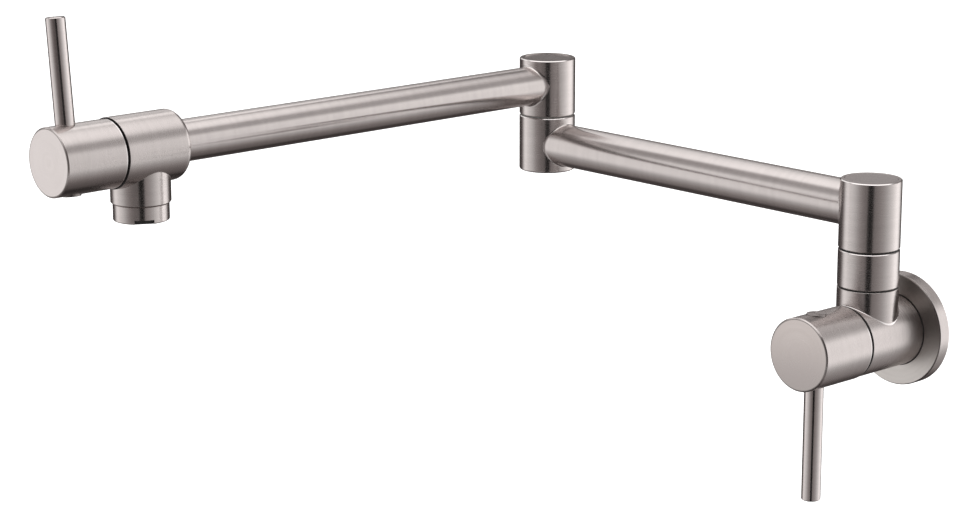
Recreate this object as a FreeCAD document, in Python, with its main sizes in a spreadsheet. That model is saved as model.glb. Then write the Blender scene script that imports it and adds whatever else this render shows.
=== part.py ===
"""Wall mounted pot filler: a two-valve swing tap for a kitchen wall, sizes in millimetres.

Row frame: +Z is up and the wall is the plane y = 0, with the tap towards -Y. The origin is the
centre of the inlet thread's mouth, in the wall plane. At rest the lower arm lies along the wall
towards -X and the upper arm points straight out.
"""
import FreeCAD, Part
import math
import os

import Sketcher

SIZES = {
    # wall flange
    "flange_diameter": 59.8,
    "flange_thickness": 7.5,
    "flange_front": 4.4,
    "flange_rim": 2.5,
    "gasket_side_gap": 0.4,
    # valve bodies and their handles
    "wall_barrel_diameter": 37.8,
    "wall_handle_diameter": 38.5,
    "wall_port_distance": 31.1,
    "wall_port_to_seam": 17.5,
    "wall_lever_length": 60.3,
    "wall_lever_set_back": 13.0,
    "outlet_barrel_diameter": 36.6,
    "outlet_handle_diameter": 35.4,
    "outlet_axis_drop": 0.7,
    "outlet_port_distance": 285.4,
    "outlet_port_to_rear": 20.6,
    "outlet_port_to_seam": 18.6,
    "outlet_rear_round": 3.5,
    "outlet_lever_length": 53.1,
    "outlet_lever_set_back": 11.7,
    "outlet_lever_lean": 5.6,
    "handle_length": 35.5,
    "handle_bevel": 0.6,
    "lever_diameter": 10.0,
    "lever_seat_depth": 2.0,
    "lever_thread_diameter": 6.0,
    "lever_thread_length": 9.0,
    "lever_bevel": 0.5,
    "seam_gap": 0.8,
    "barrel_bevel": 0.4,
    # inlet
    "inlet_thread_bore": 18.6,
    "inlet_thread_depth": 14.0,
    "filter_diameter": 16.0,
    "filter_thickness": 2.0,
    "filter_opening": 9.0,
    # cartridge, the same in both valves
    "chamber_bore": 24.0,
    "seat_to_port": 11.0,
    "seat_opening": 10.0,
    "seal_thickness": 1.5,
    "seal_diameter": 16.4,
    "cartridge_diameter": 17.0,
    "cartridge_wall": 1.2,
    "cartridge_cavity_length": 11.5,
    "cartridge_shoulder": 6.0,
    "cartridge_collar_width": 4.0,
    "cartridge_neck_diameter": 13.0,
    "cartridge_neck_stand": 1.5,
    "window_width": 8.0,
    "disc_thickness": 3.0,
    "disc_hole_diameter": 4.0,
    "disc_hole_offset": 3.6,
    "tang_width": 2.6,
    "tang_depth": 1.2,
    "tang_rise": 3.0,
    "tang_end_gap": 1.2,
    "stem_diameter": 8.0,
    "stem_past_lever": 5.0,
    "stem_flat_depth": 0.8,
    "stem_flat_length": 8.0,
    "nut_set_back": 0.4,
    "nut_slot_width": 3.0,
    "nut_slot_depth": 1.2,
    "handle_cavity_diameter": 16.0,
    "handle_cavity_depth": 3.0,
    # grub screw and its trim plug
    "grub_diameter": 5.0,
    "grub_length": 8.0,
    "grub_socket": 2.5,
    "plug_diameter": 10.0,
    "plug_depth": 3.0,
    "plug_stand": 0.35,
    # column on the wall valve
    "column_diameter": 32.0,
    "neck_top": 27.2,
    "neck_gasket_thickness": 0.7,
    "collar_height": 19.3,
    "column_foot_to_tube": 21.1,
    "column_tube_to_top": 14.9,
    "column_cap_inset": 0.05,
    # elbow
    "arm_length": 240.0,
    "elbow_foot_to_tube": 15.6,
    "elbow_foot_round": 1.2,
    "elbow_floor": 4.0,
    "elbow_tube_to_seam": 16.6,
    "elbow_seam_to_tube": 17.7,
    "elbow_tube_to_top": 15.1,
    "elbow_cap_inset": 0.4,
    # swivel joint, the same on column and elbow
    "post_diameter": 20.0,
    "post_bore": 13.0,
    "post_socket_depth": 11.0,
    "post_port_diameter": 8.0,
    "swivel_chamber_wall": 3.2,
    "swivel_chamber_height": 12.0,
    "swivel_washer_inset": 0.6,
    "swivel_seal_distance": 4.5,
    "side_port_diameter": 10.0,
    "edge_bevel": 0.5,
    "cap_diameter": 27.6,
    "cap_thickness": 1.6,
    "clip_room": 2.6,
    "clip_thickness": 1.2,
    "clip_width": 3.0,
    "clip_opening": 6.0,
    "clip_grip": 1.0,
    # round rubber rings
    "ring_section": 1.8,
    "ring_groove_width": 2.4,
    "stem_ring_section": 1.1,
    # tubes
    "lower_tube_diameter": 24.0,
    "upper_tube_diameter": 22.0,
    "tube_wall": 1.5,
    "tube_socket_depth": 3.0,
    # spout and aerator
    "spout_diameter": 30.9,
    "spout_length": 27.4,
    "spout_bevel": 0.7,
    "spout_waterway": 15.0,
    "aerator_length": 9.0,
    "aerator_diameter": 28.8,
    "aerator_round": 0.8,
    "aerator_thread_diameter": 23.5,
    "aerator_thread_length": 8.5,
    "aerator_bore": 20.4,
    "aerator_lip": 1.0,
    "aerator_key_angle": 61.0,
    "key_notch_width": 10.0,
    "key_notch_height": 2.2,
    "key_notch_depth": 2.0,
    "insert_floor": 3.0,
    "insert_wall": 1.2,
    "insert_height": 12.0,
    "insert_hole_diameter": 1.8,
    "insert_ring_step": 3.3,
    "aerator_washer_thickness": 1.5,
    "aerator_washer_width": 3.0,
    # clearances
    "running_fit": 0.05,
    "fixed_fit": 0.02,
    "film_gap": 0.05,
    "end_gap": 0.3,
    "braze_gap": 0.05,
}

INSERT_RING_COUNT = 2
FIRST_RING_HOLE_COUNT = 6
X_AXIS = FreeCAD.Vector(1, 0, 0)
Y_AXIS = FreeCAD.Vector(0, 1, 0)
Z_AXIS = FreeCAD.Vector(0, 0, 1)

doc = FreeCAD.newDocument("PotFiller")


class Size:
    """A length or angle: its value, and the formula that gives it from the sheet."""

    def __init__(self, value, text=None):
        self.value = value
        self.text = text or repr(float(value))

    def __add__(self, other):
        other = as_size(other)
        return Size(self.value + other.value, f"({self.text} + {other.text})")

    def __sub__(self, other):
        other = as_size(other)
        return Size(self.value - other.value, f"({self.text} - {other.text})")

    def __mul__(self, factor):
        return Size(self.value * factor, f"({self.text} * {factor})")

    def __truediv__(self, divisor):
        return Size(self.value / divisor, f"({self.text} / {divisor})")

    def __neg__(self):
        return Size(-self.value, f"(0 - {self.text})")


def as_size(number):
    """Give a plain number as a Size, and leave a Size as it is."""
    return number if isinstance(number, Size) else Size(number)


class Sheet:
    """The driving dimensions, read as attributes by their names."""

    def __init__(self, sizes):
        cells = doc.addObject("Spreadsheet::Sheet", "Sizes")
        for row, (name, number) in enumerate(sizes.items(), start=1):
            cells.set(f"A{row}", name)
            cells.set(f"B{row}", str(number))
            cells.setAlias(f"B{row}", name)
            setattr(self, name, Size(number, f"Sizes.{name}"))


S = Sheet(SIZES)
ZERO = Size(0.0)

# Radii and stations that more than one piece uses
barrel_radius = S.wall_barrel_diameter / 2
column_radius = S.column_diameter / 2
chamber_radius = S.chamber_bore / 2
post_radius = S.post_diameter / 2
post_bore_radius = S.post_bore / 2
stem_radius = S.stem_diameter / 2
collar_foot = S.neck_top + S.neck_gasket_thickness
collar_top = collar_foot + S.collar_height
wall_seam = S.wall_port_distance + S.wall_port_to_seam
outlet_seam = S.outlet_port_distance + S.outlet_port_to_seam
outlet_rear = S.outlet_port_distance - S.outlet_port_to_rear
lower_tube_height = collar_top + S.seam_gap + S.column_foot_to_tube
elbow_foot = lower_tube_height - S.elbow_foot_to_tube
elbow_seam = lower_tube_height + S.elbow_tube_to_seam
elbow_socket_top = elbow_seam - S.seam_gap / 2
upper_tube_height = elbow_seam + S.elbow_seam_to_tube
outlet_height = upper_tube_height - S.outlet_axis_drop
spout_end = outlet_height - S.spout_length
socket_wall_radius = post_radius + S.fixed_fit


# ---- places: where each piece's own frame sits ----

def place(body, x=ZERO, y=ZERO, z=ZERO, rotation=None):
    """Set a body's rotation, and tie its position to the sheet."""
    body.Placement = FreeCAD.Placement(
        FreeCAD.Vector(as_size(x).value, as_size(y).value, as_size(z).value),
        rotation or FreeCAD.Rotation(),
    )
    for axis, number in (("x", x), ("y", y), ("z", z)):
        body.setExpression(f"Placement.Base.{axis}", as_size(number).text)


# Turns a piece's own +Z out from the wall (-Y), and its own +Y up
OUTWARD = FreeCAD.Rotation(X_AXIS, 90)
# Turns a piece's own +Z along the lower arm (-X), and its own +X up
ALONG_WALL = FreeCAD.Rotation(Y_AXIS, -90)


class Valve:
    """The places and sizes that tell the two valves apart."""

    def __init__(self, name, origin, port, seam, barrel, handle, lever, set_back, spin):
        self.name = name
        self.origin = origin
        self.port = port
        self.seat = port - S.seat_to_port
        self.barrel_front = seam - S.seam_gap / 2
        self.handle_rear = seam + S.seam_gap / 2
        self.handle_face = self.handle_rear + S.handle_length
        self.lever_station = self.handle_face - set_back
        self.barrel_radius = barrel / 2
        self.handle_radius = handle / 2
        self.lever_length = lever
        self.turn = OUTWARD.multiply(FreeCAD.Rotation(Z_AXIS, spin.value))

    def place_on_axis(self, body):
        """Put a fixed piece on the valve's axis."""
        place(body, *self.origin, rotation=OUTWARD)

    def place_with_handle(self, body):
        """Put a piece on the valve's axis, turned with its handle."""
        place(body, *self.origin, rotation=self.turn)

    def place_across(self, body, towards_lever):
        """Put a piece across the handle, its own +Z towards the lever's tip or away from it."""
        across = FreeCAD.Rotation(X_AXIS, 90 if towards_lever else -90)
        x, y, z = self.origin
        place(body, x, y - self.lever_station, z, self.turn.multiply(across))


wall_valve = Valve(
    "wall", (ZERO, ZERO, ZERO), S.wall_port_distance, wall_seam,
    S.wall_barrel_diameter, S.wall_handle_diameter, S.wall_lever_length,
    S.wall_lever_set_back, ZERO,
)
outlet_valve = Valve(
    "outlet", (-S.arm_length, -S.wall_port_distance, outlet_height),
    S.outlet_port_distance, outlet_seam,
    S.outlet_barrel_diameter, S.outlet_handle_diameter, S.outlet_lever_length,
    S.outlet_lever_set_back, S.outlet_lever_lean + 180,
)


# ---- features: how each piece is made ----

def new_body(label):
    """Start a piece under its node name."""
    body = doc.addObject("PartDesign::Body", label)
    body.Label = label
    return body


def new_sketch(body, plane, station=ZERO):
    """Start a sketch on one of the body's origin planes, moved to a station along its normal."""
    sketch = body.newObject("Sketcher::SketchObject", f"{body.Label}_sketch")
    origin_plane = next(item for item in body.Origin.OriginFeatures if item.Role == plane)
    sketch.AttachmentSupport = [(origin_plane, "")]
    sketch.MapMode = "FlatFace"
    sketch.AttachmentOffset = FreeCAD.Placement(
        FreeCAD.Vector(0, 0, station.value), FreeCAD.Rotation()
    )
    sketch.setExpression("AttachmentOffset.Base.z", station.text)
    return sketch


def bind_point(sketch, edge, point, x, y):
    """Fix a sketch point at (x, y) from the sheet."""
    for kind, number in (("DistanceX", x), ("DistanceY", y)):
        index = sketch.addConstraint(
            Sketcher.Constraint(kind, -1, 1, edge, point, as_size(number).value)
        )
        sketch.setExpression(f"Constraints[{index}]", as_size(number).text)


def add_outline(sketch, corners):
    """Draw a closed outline of straight lines through corners."""
    spots = [FreeCAD.Vector(as_size(x).value, as_size(y).value, 0) for x, y in corners]
    count = len(spots)
    for index in range(count):
        sketch.addGeometry(Part.LineSegment(spots[index], spots[(index + 1) % count]), False)
    for index in range(count):
        sketch.addConstraint(Sketcher.Constraint("Coincident", index, 2, (index + 1) % count, 1))
    for index, (x, y) in enumerate(corners):
        bind_point(sketch, index, 1, x, y)


def add_circle(sketch, x, y, radius):
    """Draw a circle by centre and radius."""
    centre = FreeCAD.Vector(as_size(x).value, as_size(y).value, 0)
    edge = sketch.addGeometry(Part.Circle(centre, Z_AXIS, radius.value), False)
    bind_point(sketch, edge, 3, x, y)
    index = sketch.addConstraint(Sketcher.Constraint("Radius", edge, radius.value))
    sketch.setExpression(f"Constraints[{index}]", radius.text)


def volume(body):
    """Recompute and give the piece's volume so far."""
    doc.recompute()
    return body.Shape.Volume


def revolve(body, corners, kind="Revolution"):
    """Turn an outline of (radius, station) corners about the body's own Z axis."""
    before = volume(body) if kind == "Groove" else 0.0
    sketch = new_sketch(body, "XZ_Plane")
    add_outline(sketch, corners)
    feature = body.newObject(f"PartDesign::{kind}", f"{body.Label}_{kind.lower()}")
    feature.Profile = sketch
    feature.ReferenceAxis = (sketch, ["V_Axis"])
    feature.Angle = 360
    if kind == "Groove" and not volume(body) < before:
        raise RuntimeError(f"{body.Label}: groove removed nothing")
    return body


def extrude(body, kind, plane, start, length, draw):
    """Pad or pocket what draw puts in a sketch, from start along the plane's positive row axis."""
    before = volume(body) if kind == "Pocket" else 0.0
    against_normal = plane == "XZ_Plane"
    start = as_size(start)
    sketch = new_sketch(body, plane, -start if against_normal else start)
    draw(sketch)
    feature = body.newObject(f"PartDesign::{kind}", f"{body.Label}_{kind.lower()}")
    feature.Profile = sketch
    feature.Length = as_size(length).value
    feature.setExpression("Length", as_size(length).text)
    feature.Reversed = against_normal if kind == "Pad" else not against_normal
    if kind == "Pocket" and not volume(body) < before:
        raise RuntimeError(f"{body.Label}: pocket removed nothing")
    return feature


def round_hole(body, plane, centre, radius, start, length):
    """Cut a round hole square to one of the body's planes."""
    return extrude(
        body, "Pocket", plane, start, length,
        lambda sketch: add_circle(sketch, centre[0], centre[1], radius),
    )


def square_hole(body, plane, low, high, start, length):
    """Cut a rectangular hole square to one of the body's planes."""
    corners = [(low[0], low[1]), (high[0], low[1]), (high[0], high[1]), (low[0], high[1])]
    return extrude(
        body, "Pocket", plane, start, length, lambda sketch: add_outline(sketch, corners)
    )


def round_edge(body, edge_radius, station, radius, kind="Fillet"):
    """Fillet or chamfer the circular edge of a given radius at a station on the body's own Z."""
    doc.recompute()
    tip = body.Tip
    names = [
        f"Edge{index}"
        for index, edge in enumerate(tip.Shape.Edges, start=1)
        if isinstance(edge.Curve, Part.Circle)
        and math.isclose(edge.Curve.Radius, edge_radius.value, abs_tol=1e-4)
        and math.isclose(edge.Curve.Center.z, station.value, abs_tol=1e-4)
    ]
    feature = body.newObject(f"PartDesign::{kind}", f"{body.Label}_{kind.lower()}")
    feature.Base = (tip, names)
    target = "Radius" if kind == "Fillet" else "Size"
    setattr(feature, target, radius.value)
    feature.setExpression(target, radius.text)


def ring_corners(inner, outer, low, high):
    """Give the outline of a plain ring."""
    return [(inner, low), (outer, low), (outer, high), (inner, high)]


def disc_corners(radius, low, high):
    """Give the outline of a plain disc."""
    return ring_corners(ZERO, radius, low, high)


def rubber_rings(label, section, rings, put):
    """Make one node of round rubber rings from (centre radius, station) pairs."""
    group = []
    for index, (radius, station) in enumerate(rings):
        torus = doc.addObject("Part::Torus", f"{label}_{index}")
        for name, number in (("Radius1", radius), ("Radius2", section / 2)):
            torus.setExpression(name, number.text)
        torus.setExpression("Placement.Base.z", station.text)
        group.append(torus)
    rubber = doc.addObject("Part::Compound", label)
    rubber.Links = group
    rubber.Label = label
    put(rubber)
    return rubber


# ---- wall side ----

def make_wall_flange():
    """Cup-shaped cover against the wall, with its foam gasket and barrel ring."""
    outer = S.flange_diameter / 2
    hole = barrel_radius + S.running_fit
    rim = outer - S.flange_rim
    floor = S.flange_thickness - S.flange_front
    groove_depth = hole + S.ring_section
    ring_station = floor + S.flange_front / 2
    groove_low = ring_station - S.ring_groove_width / 2
    groove_high = ring_station + S.ring_groove_width / 2
    flange = new_body("wall_flange")
    revolve(flange, [
        (hole, floor), (rim, floor), (rim, ZERO), (outer, ZERO),
        (outer, S.flange_thickness - S.edge_bevel),
        (outer - S.edge_bevel, S.flange_thickness), (hole, S.flange_thickness),
        (hole, groove_high), (groove_depth, groove_high), (groove_depth, groove_low),
        (hole, groove_low),
    ])
    gasket = new_body("flange_gasket")
    revolve(gasket, ring_corners(
        hole + S.gasket_side_gap, rim - S.gasket_side_gap, ZERO, floor
    ))
    for body in (flange, gasket):
        wall_valve.place_on_axis(body)
    rubber_rings(
        "flange_ring", S.ring_section, [(hole + S.ring_section / 2, ring_station)],
        wall_valve.place_on_axis,
    )


def make_valve_body():
    """Wall valve: inlet thread, seat, cartridge chamber and the neck that carries the column."""
    body = new_body("valve_body")
    front = wall_valve.barrel_front
    revolve(body, [
        (ZERO, ZERO), (barrel_radius, ZERO), (barrel_radius, front - S.barrel_bevel),
        (barrel_radius - S.barrel_bevel, front), (ZERO, front),
    ])
    extrude(
        body, "Pad", "XZ_Plane", ZERO, S.neck_top,
        lambda sketch: add_circle(sketch, ZERO, wall_valve.port, column_radius),
    )
    thread = S.inlet_thread_bore / 2
    pocket = S.filter_diameter / 2 + S.fixed_fit
    pocket_end = S.inlet_thread_depth + S.filter_thickness
    opening = S.seat_opening / 2
    revolve(body, [
        (ZERO, ZERO), (thread, ZERO), (thread, S.inlet_thread_depth),
        (pocket, S.inlet_thread_depth), (pocket, pocket_end), (opening, pocket_end),
        (opening, wall_valve.seat), (chamber_radius, wall_valve.seat),
        (chamber_radius, front), (ZERO, front),
    ], "Groove")
    round_hole(body, "XZ_Plane", (ZERO, wall_valve.port), post_bore_radius, ZERO, S.neck_top)
    round_hole(
        body, "XZ_Plane", (ZERO, wall_valve.port), socket_wall_radius,
        S.neck_top - S.post_socket_depth, S.post_socket_depth,
    )
    wall_valve.place_on_axis(body)

    washer = new_body("inlet_filter_washer")
    revolve(washer, ring_corners(
        S.filter_opening / 2, S.filter_diameter / 2, S.inlet_thread_depth, pocket_end
    ))
    wall_valve.place_on_axis(washer)


def make_swivel_collar():
    """Fixed ring that the column stands on, over a thin flat gasket."""
    inner = post_radius + S.running_fit
    gasket = new_body("neck_gasket")
    revolve(gasket, ring_corners(
        inner, column_radius - S.swivel_washer_inset, S.neck_top, collar_foot
    ))
    collar = new_body("swivel_collar")
    bevelled = column_radius - S.edge_bevel
    revolve(collar, [
        (inner, collar_foot), (bevelled, collar_foot),
        (column_radius, collar_foot + S.edge_bevel), (column_radius, collar_top - S.edge_bevel),
        (bevelled, collar_top), (inner, collar_top),
    ])
    for body in (gasket, collar):
        place(body, y=-S.wall_port_distance)


# ---- swivel joints ----

class Swivel:
    """A hollow post, and the head that turns on it: at the column and at the elbow."""

    def __init__(self, name, x, socket_top, stand, tube_height, top, cap_inset):
        self.name = name
        self.x = x
        self.post_foot = socket_top - S.post_socket_depth
        self.stand = stand
        self.tube_height = tube_height
        self.top = top
        self.head_foot = stand + S.seam_gap
        self.cap_top = top - cap_inset
        self.cap_foot = self.cap_top - S.cap_thickness
        self.clip_floor = self.cap_foot - S.clip_room
        self.post_top = self.cap_foot - S.end_gap
        self.lower_ring = self.head_foot + S.swivel_seal_distance
        self.upper_ring = (self.clip_floor + self.chamber_top()) / 2

    def chamber_top(self):
        """Give the top of the water chamber round the post's ports."""
        return self.tube_height + S.swivel_chamber_height / 2

    def put(self, body):
        """Put a piece on the swivel's upright axis."""
        place(body, self.x, -S.wall_port_distance, ZERO)

    def make_post(self):
        """Hollow post with cross ports, ring grooves and a clip groove."""
        post = new_body(f"{self.name}_post")
        groove = S.ring_groove_width / 2
        ring_floor = post_radius - S.ring_section
        clip_floor_radius = post_radius - S.clip_grip
        clip_low = self.clip_floor + S.end_gap - S.film_gap
        clip_high = clip_low + S.clip_thickness + S.film_gap * 2
        revolve(post, [
            (post_bore_radius, self.post_foot), (post_radius, self.post_foot),
            (post_radius, self.lower_ring - groove), (ring_floor, self.lower_ring - groove),
            (ring_floor, self.lower_ring + groove), (post_radius, self.lower_ring + groove),
            (post_radius, self.upper_ring - groove), (ring_floor, self.upper_ring - groove),
            (ring_floor, self.upper_ring + groove), (post_radius, self.upper_ring + groove),
            (post_radius, clip_low), (clip_floor_radius, clip_low),
            (clip_floor_radius, clip_high), (post_radius, clip_high),
            (post_radius, self.post_top), (ZERO, self.post_top),
            (ZERO, self.chamber_top()), (post_bore_radius, self.chamber_top()),
        ])
        port = S.post_port_diameter / 2
        for plane in ("XZ_Plane", "YZ_Plane"):
            round_hole(
                post, plane, (ZERO, self.tube_height), port, -post_radius, S.post_diameter
            )
        self.put(post)

    def make_seals(self):
        """Two rubber rings in the post's grooves, and the slip washer below the head."""
        centre = post_radius - S.ring_section / 2
        rubber_rings(
            f"{self.name}_rings", S.ring_section,
            [(centre, self.lower_ring), (centre, self.upper_ring)], self.put,
        )
        washer = new_body(f"{self.name}_slip_washer")
        revolve(washer, ring_corners(
            post_radius + S.running_fit, column_radius - S.swivel_washer_inset,
            self.stand, self.head_foot - S.film_gap,
        ))
        self.put(washer)

    def make_clip(self):
        """Open spring clip in the post's top groove, which keeps the head down."""
        clip = new_body(f"{self.name}_clip")
        inner = post_radius - S.clip_grip + S.fixed_fit
        outer = inner + S.clip_width
        low = self.clip_floor + S.end_gap
        high = low + S.clip_thickness
        revolve(clip, ring_corners(inner, outer, low, high))
        half = S.clip_opening / 2
        square_hole(clip, "XY_Plane", (-half, ZERO), (half, outer), low, S.clip_thickness)
        self.put(clip)

    def make_head(self, label, port_plane):
        """Turning head with lands on the post, a water chamber and a side port to its tube."""
        head = new_body(label)
        land = post_radius + S.running_fit
        chamber = column_radius - S.swivel_chamber_wall
        chamber_low = self.tube_height - S.swivel_chamber_height / 2
        clip_room = post_radius + S.clip_width
        cap_seat = S.cap_diameter / 2 + S.fixed_fit
        bevelled = column_radius - S.edge_bevel
        revolve(head, [
            (land, self.head_foot), (bevelled, self.head_foot),
            (column_radius, self.head_foot + S.edge_bevel),
            (column_radius, self.top - S.edge_bevel), (bevelled, self.top),
            (cap_seat, self.top), (cap_seat, self.cap_foot), (clip_room, self.cap_foot),
            (clip_room, self.clip_floor), (land, self.clip_floor), (land, self.chamber_top()),
            (chamber, self.chamber_top()), (chamber, chamber_low), (land, chamber_low),
        ])
        round_hole(
            head, port_plane, (ZERO, self.tube_height), S.side_port_diameter / 2,
            -column_radius, column_radius,
        )
        self.put(head)

    def make_cap(self):
        """Round cap let into the top of the head."""
        cap = new_body(f"{self.name}_cap")
        revolve(cap, disc_corners(S.cap_diameter / 2, self.cap_foot, self.cap_top))
        self.put(cap)


def make_lower_arm_tube():
    """Straight tube, saddled onto the column head and the elbow's lower hub."""
    tube = new_body("lower_arm_tube")
    outer = S.lower_tube_diameter / 2
    revolve(tube, ring_corners(outer - S.tube_wall, outer, ZERO, S.arm_length))
    saddle = column_radius + S.braze_gap
    for station in (ZERO, S.arm_length):
        round_hole(tube, "YZ_Plane", (ZERO, station), saddle, -outer, S.lower_tube_diameter)
    place(tube, y=-S.wall_port_distance, z=lower_tube_height, rotation=ALONG_WALL)


def make_elbow_lower_hub():
    """Closed hub at the end of the lower arm, with the socket for the elbow's post."""
    hub = new_body("elbow_lower_hub")
    socket_floor = elbow_socket_top - S.post_socket_depth
    waterway = post_bore_radius
    floor = elbow_foot + S.elbow_floor
    bevelled = column_radius - S.edge_bevel
    revolve(hub, [
        (ZERO, elbow_foot), (column_radius, elbow_foot),
        (column_radius, elbow_socket_top - S.edge_bevel), (bevelled, elbow_socket_top),
        (socket_wall_radius, elbow_socket_top), (socket_wall_radius, socket_floor),
        (waterway, socket_floor), (waterway, floor), (ZERO, floor),
    ])
    round_hole(
        hub, "YZ_Plane", (ZERO, lower_tube_height), S.side_port_diameter / 2,
        ZERO, column_radius,
    )
    round_edge(hub, column_radius, elbow_foot, S.elbow_foot_round)
    place(hub, -S.arm_length, -S.wall_port_distance, ZERO)


def make_upper_arm_tube():
    """Straight tube, saddled onto the elbow head and let into the outlet body, above its axis."""
    tube = new_body("upper_arm_tube")
    outer = S.upper_tube_diameter / 2
    revolve(tube, ring_corners(
        outer - S.tube_wall, outer, ZERO, outlet_rear + S.tube_socket_depth
    ))
    saddle = column_radius + S.braze_gap
    round_hole(tube, "XZ_Plane", (ZERO, ZERO), saddle, -outer, S.upper_tube_diameter)
    place(tube, -S.arm_length, -S.wall_port_distance, upper_tube_height, OUTWARD)


# ---- outlet ----

def make_outlet_body():
    """Outlet valve: tube socket, seat, cartridge chamber and the downward spout."""
    body = new_body("outlet_body")
    radius = outlet_valve.barrel_radius
    front = outlet_valve.barrel_front
    revolve(body, [
        (ZERO, outlet_rear), (radius, outlet_rear), (radius, front - S.barrel_bevel),
        (radius - S.barrel_bevel, front), (ZERO, front),
    ])
    round_edge(body, radius, outlet_rear, S.outlet_rear_round)
    extrude(
        body, "Pad", "XZ_Plane", -S.spout_length, S.spout_length,
        lambda sketch: add_circle(sketch, ZERO, outlet_valve.port, S.spout_diameter / 2),
    )
    round_edge(body, S.spout_diameter / 2, outlet_valve.port, S.spout_bevel, "Chamfer")
    opening = S.seat_opening / 2
    revolve(body, [
        (ZERO, outlet_rear), (opening, outlet_rear), (opening, outlet_valve.seat),
        (chamber_radius, outlet_valve.seat), (chamber_radius, front), (ZERO, front),
    ], "Groove")
    round_hole(
        body, "XY_Plane", (ZERO, S.outlet_axis_drop), S.upper_tube_diameter / 2 + S.fixed_fit,
        outlet_rear, S.tube_socket_depth,
    )
    centre = (ZERO, outlet_valve.port)
    round_hole(body, "XZ_Plane", centre, S.spout_waterway / 2, -S.spout_length, S.spout_length)
    thread_room = S.aerator_thread_length + S.aerator_washer_thickness
    round_hole(
        body, "XZ_Plane", centre, S.aerator_thread_diameter / 2 + S.fixed_fit,
        -S.spout_length, thread_room,
    )
    outlet_valve.place_on_axis(body)


class Aerator:
    """The water outlet that screws up into the spout."""

    def __init__(self):
        self.bore = S.aerator_bore / 2
        self.thread = S.aerator_thread_diameter / 2
        self.outer = S.aerator_diameter / 2
        self.bottom = spout_end - S.aerator_length
        self.thread_top = spout_end + S.aerator_thread_length
        self.insert_foot = self.bottom + S.aerator_lip

    def put(self, body):
        """Put a piece on the spout's axis, turned to the key notches."""
        turn = FreeCAD.Rotation(Z_AXIS, S.aerator_key_angle.value)
        place(body, -S.arm_length, -S.wall_port_distance - S.outlet_port_distance, ZERO, turn)

    def make_shell(self):
        """Threaded shell with an inner lip and two key notches in its lower rim."""
        shell = new_body("aerator_shell")
        revolve(shell, [
            (self.bore - S.aerator_lip, self.bottom), (self.outer, self.bottom),
            (self.outer, spout_end), (self.thread, spout_end),
            (self.thread, self.thread_top), (self.bore, self.thread_top),
            (self.bore, self.insert_foot), (self.bore - S.aerator_lip, self.insert_foot),
        ])
        round_edge(shell, self.outer, self.bottom, S.aerator_round)
        half = S.key_notch_width / 2
        for side in (-1, 1):
            near = (self.outer - S.key_notch_depth) * side
            far = (self.outer + S.key_notch_depth) * side
            low, high = sorted((near, far), key=lambda number: number.value)
            square_hole(
                shell, "XY_Plane", (-half, low), (half, high),
                self.bottom, S.key_notch_height,
            )
        self.put(shell)

    def make_insert(self):
        """Plastic cup whose floor has rings of small holes, which mix air into the water."""
        insert = new_body("aerator_insert")
        outer = self.bore - S.running_fit
        floor_top = self.insert_foot + S.insert_floor
        top = self.insert_foot + S.insert_height
        revolve(insert, [
            (ZERO, self.insert_foot), (outer, self.insert_foot), (outer, top),
            (outer - S.insert_wall, top), (outer - S.insert_wall, floor_top), (ZERO, floor_top),
        ])
        hole = S.insert_hole_diameter / 2
        for ring in range(1, INSERT_RING_COUNT + 1):
            first = round_hole(
                insert, "XY_Plane", (S.insert_ring_step * ring, ZERO), hole,
                self.insert_foot, S.insert_floor,
            )
            pattern = insert.newObject("PartDesign::PolarPattern", f"insert_pattern_{ring}")
            pattern.Originals = [first]
            pattern.Axis = (first.Profile[0], ["N_Axis"])
            pattern.Angle = 360
            pattern.Occurrences = FIRST_RING_HOLE_COUNT * ring
            insert.Tip = pattern
        self.put(insert)

    def make_washer(self):
        """Rubber washer between the shell's thread and the spout."""
        washer = new_body("aerator_washer")
        outer = self.thread - S.fixed_fit
        revolve(washer, ring_corners(
            outer - S.aerator_washer_width, outer,
            self.thread_top, self.thread_top + S.aerator_washer_thickness,
        ))
        self.put(washer)


# ---- cartridges and handles ----

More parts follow.
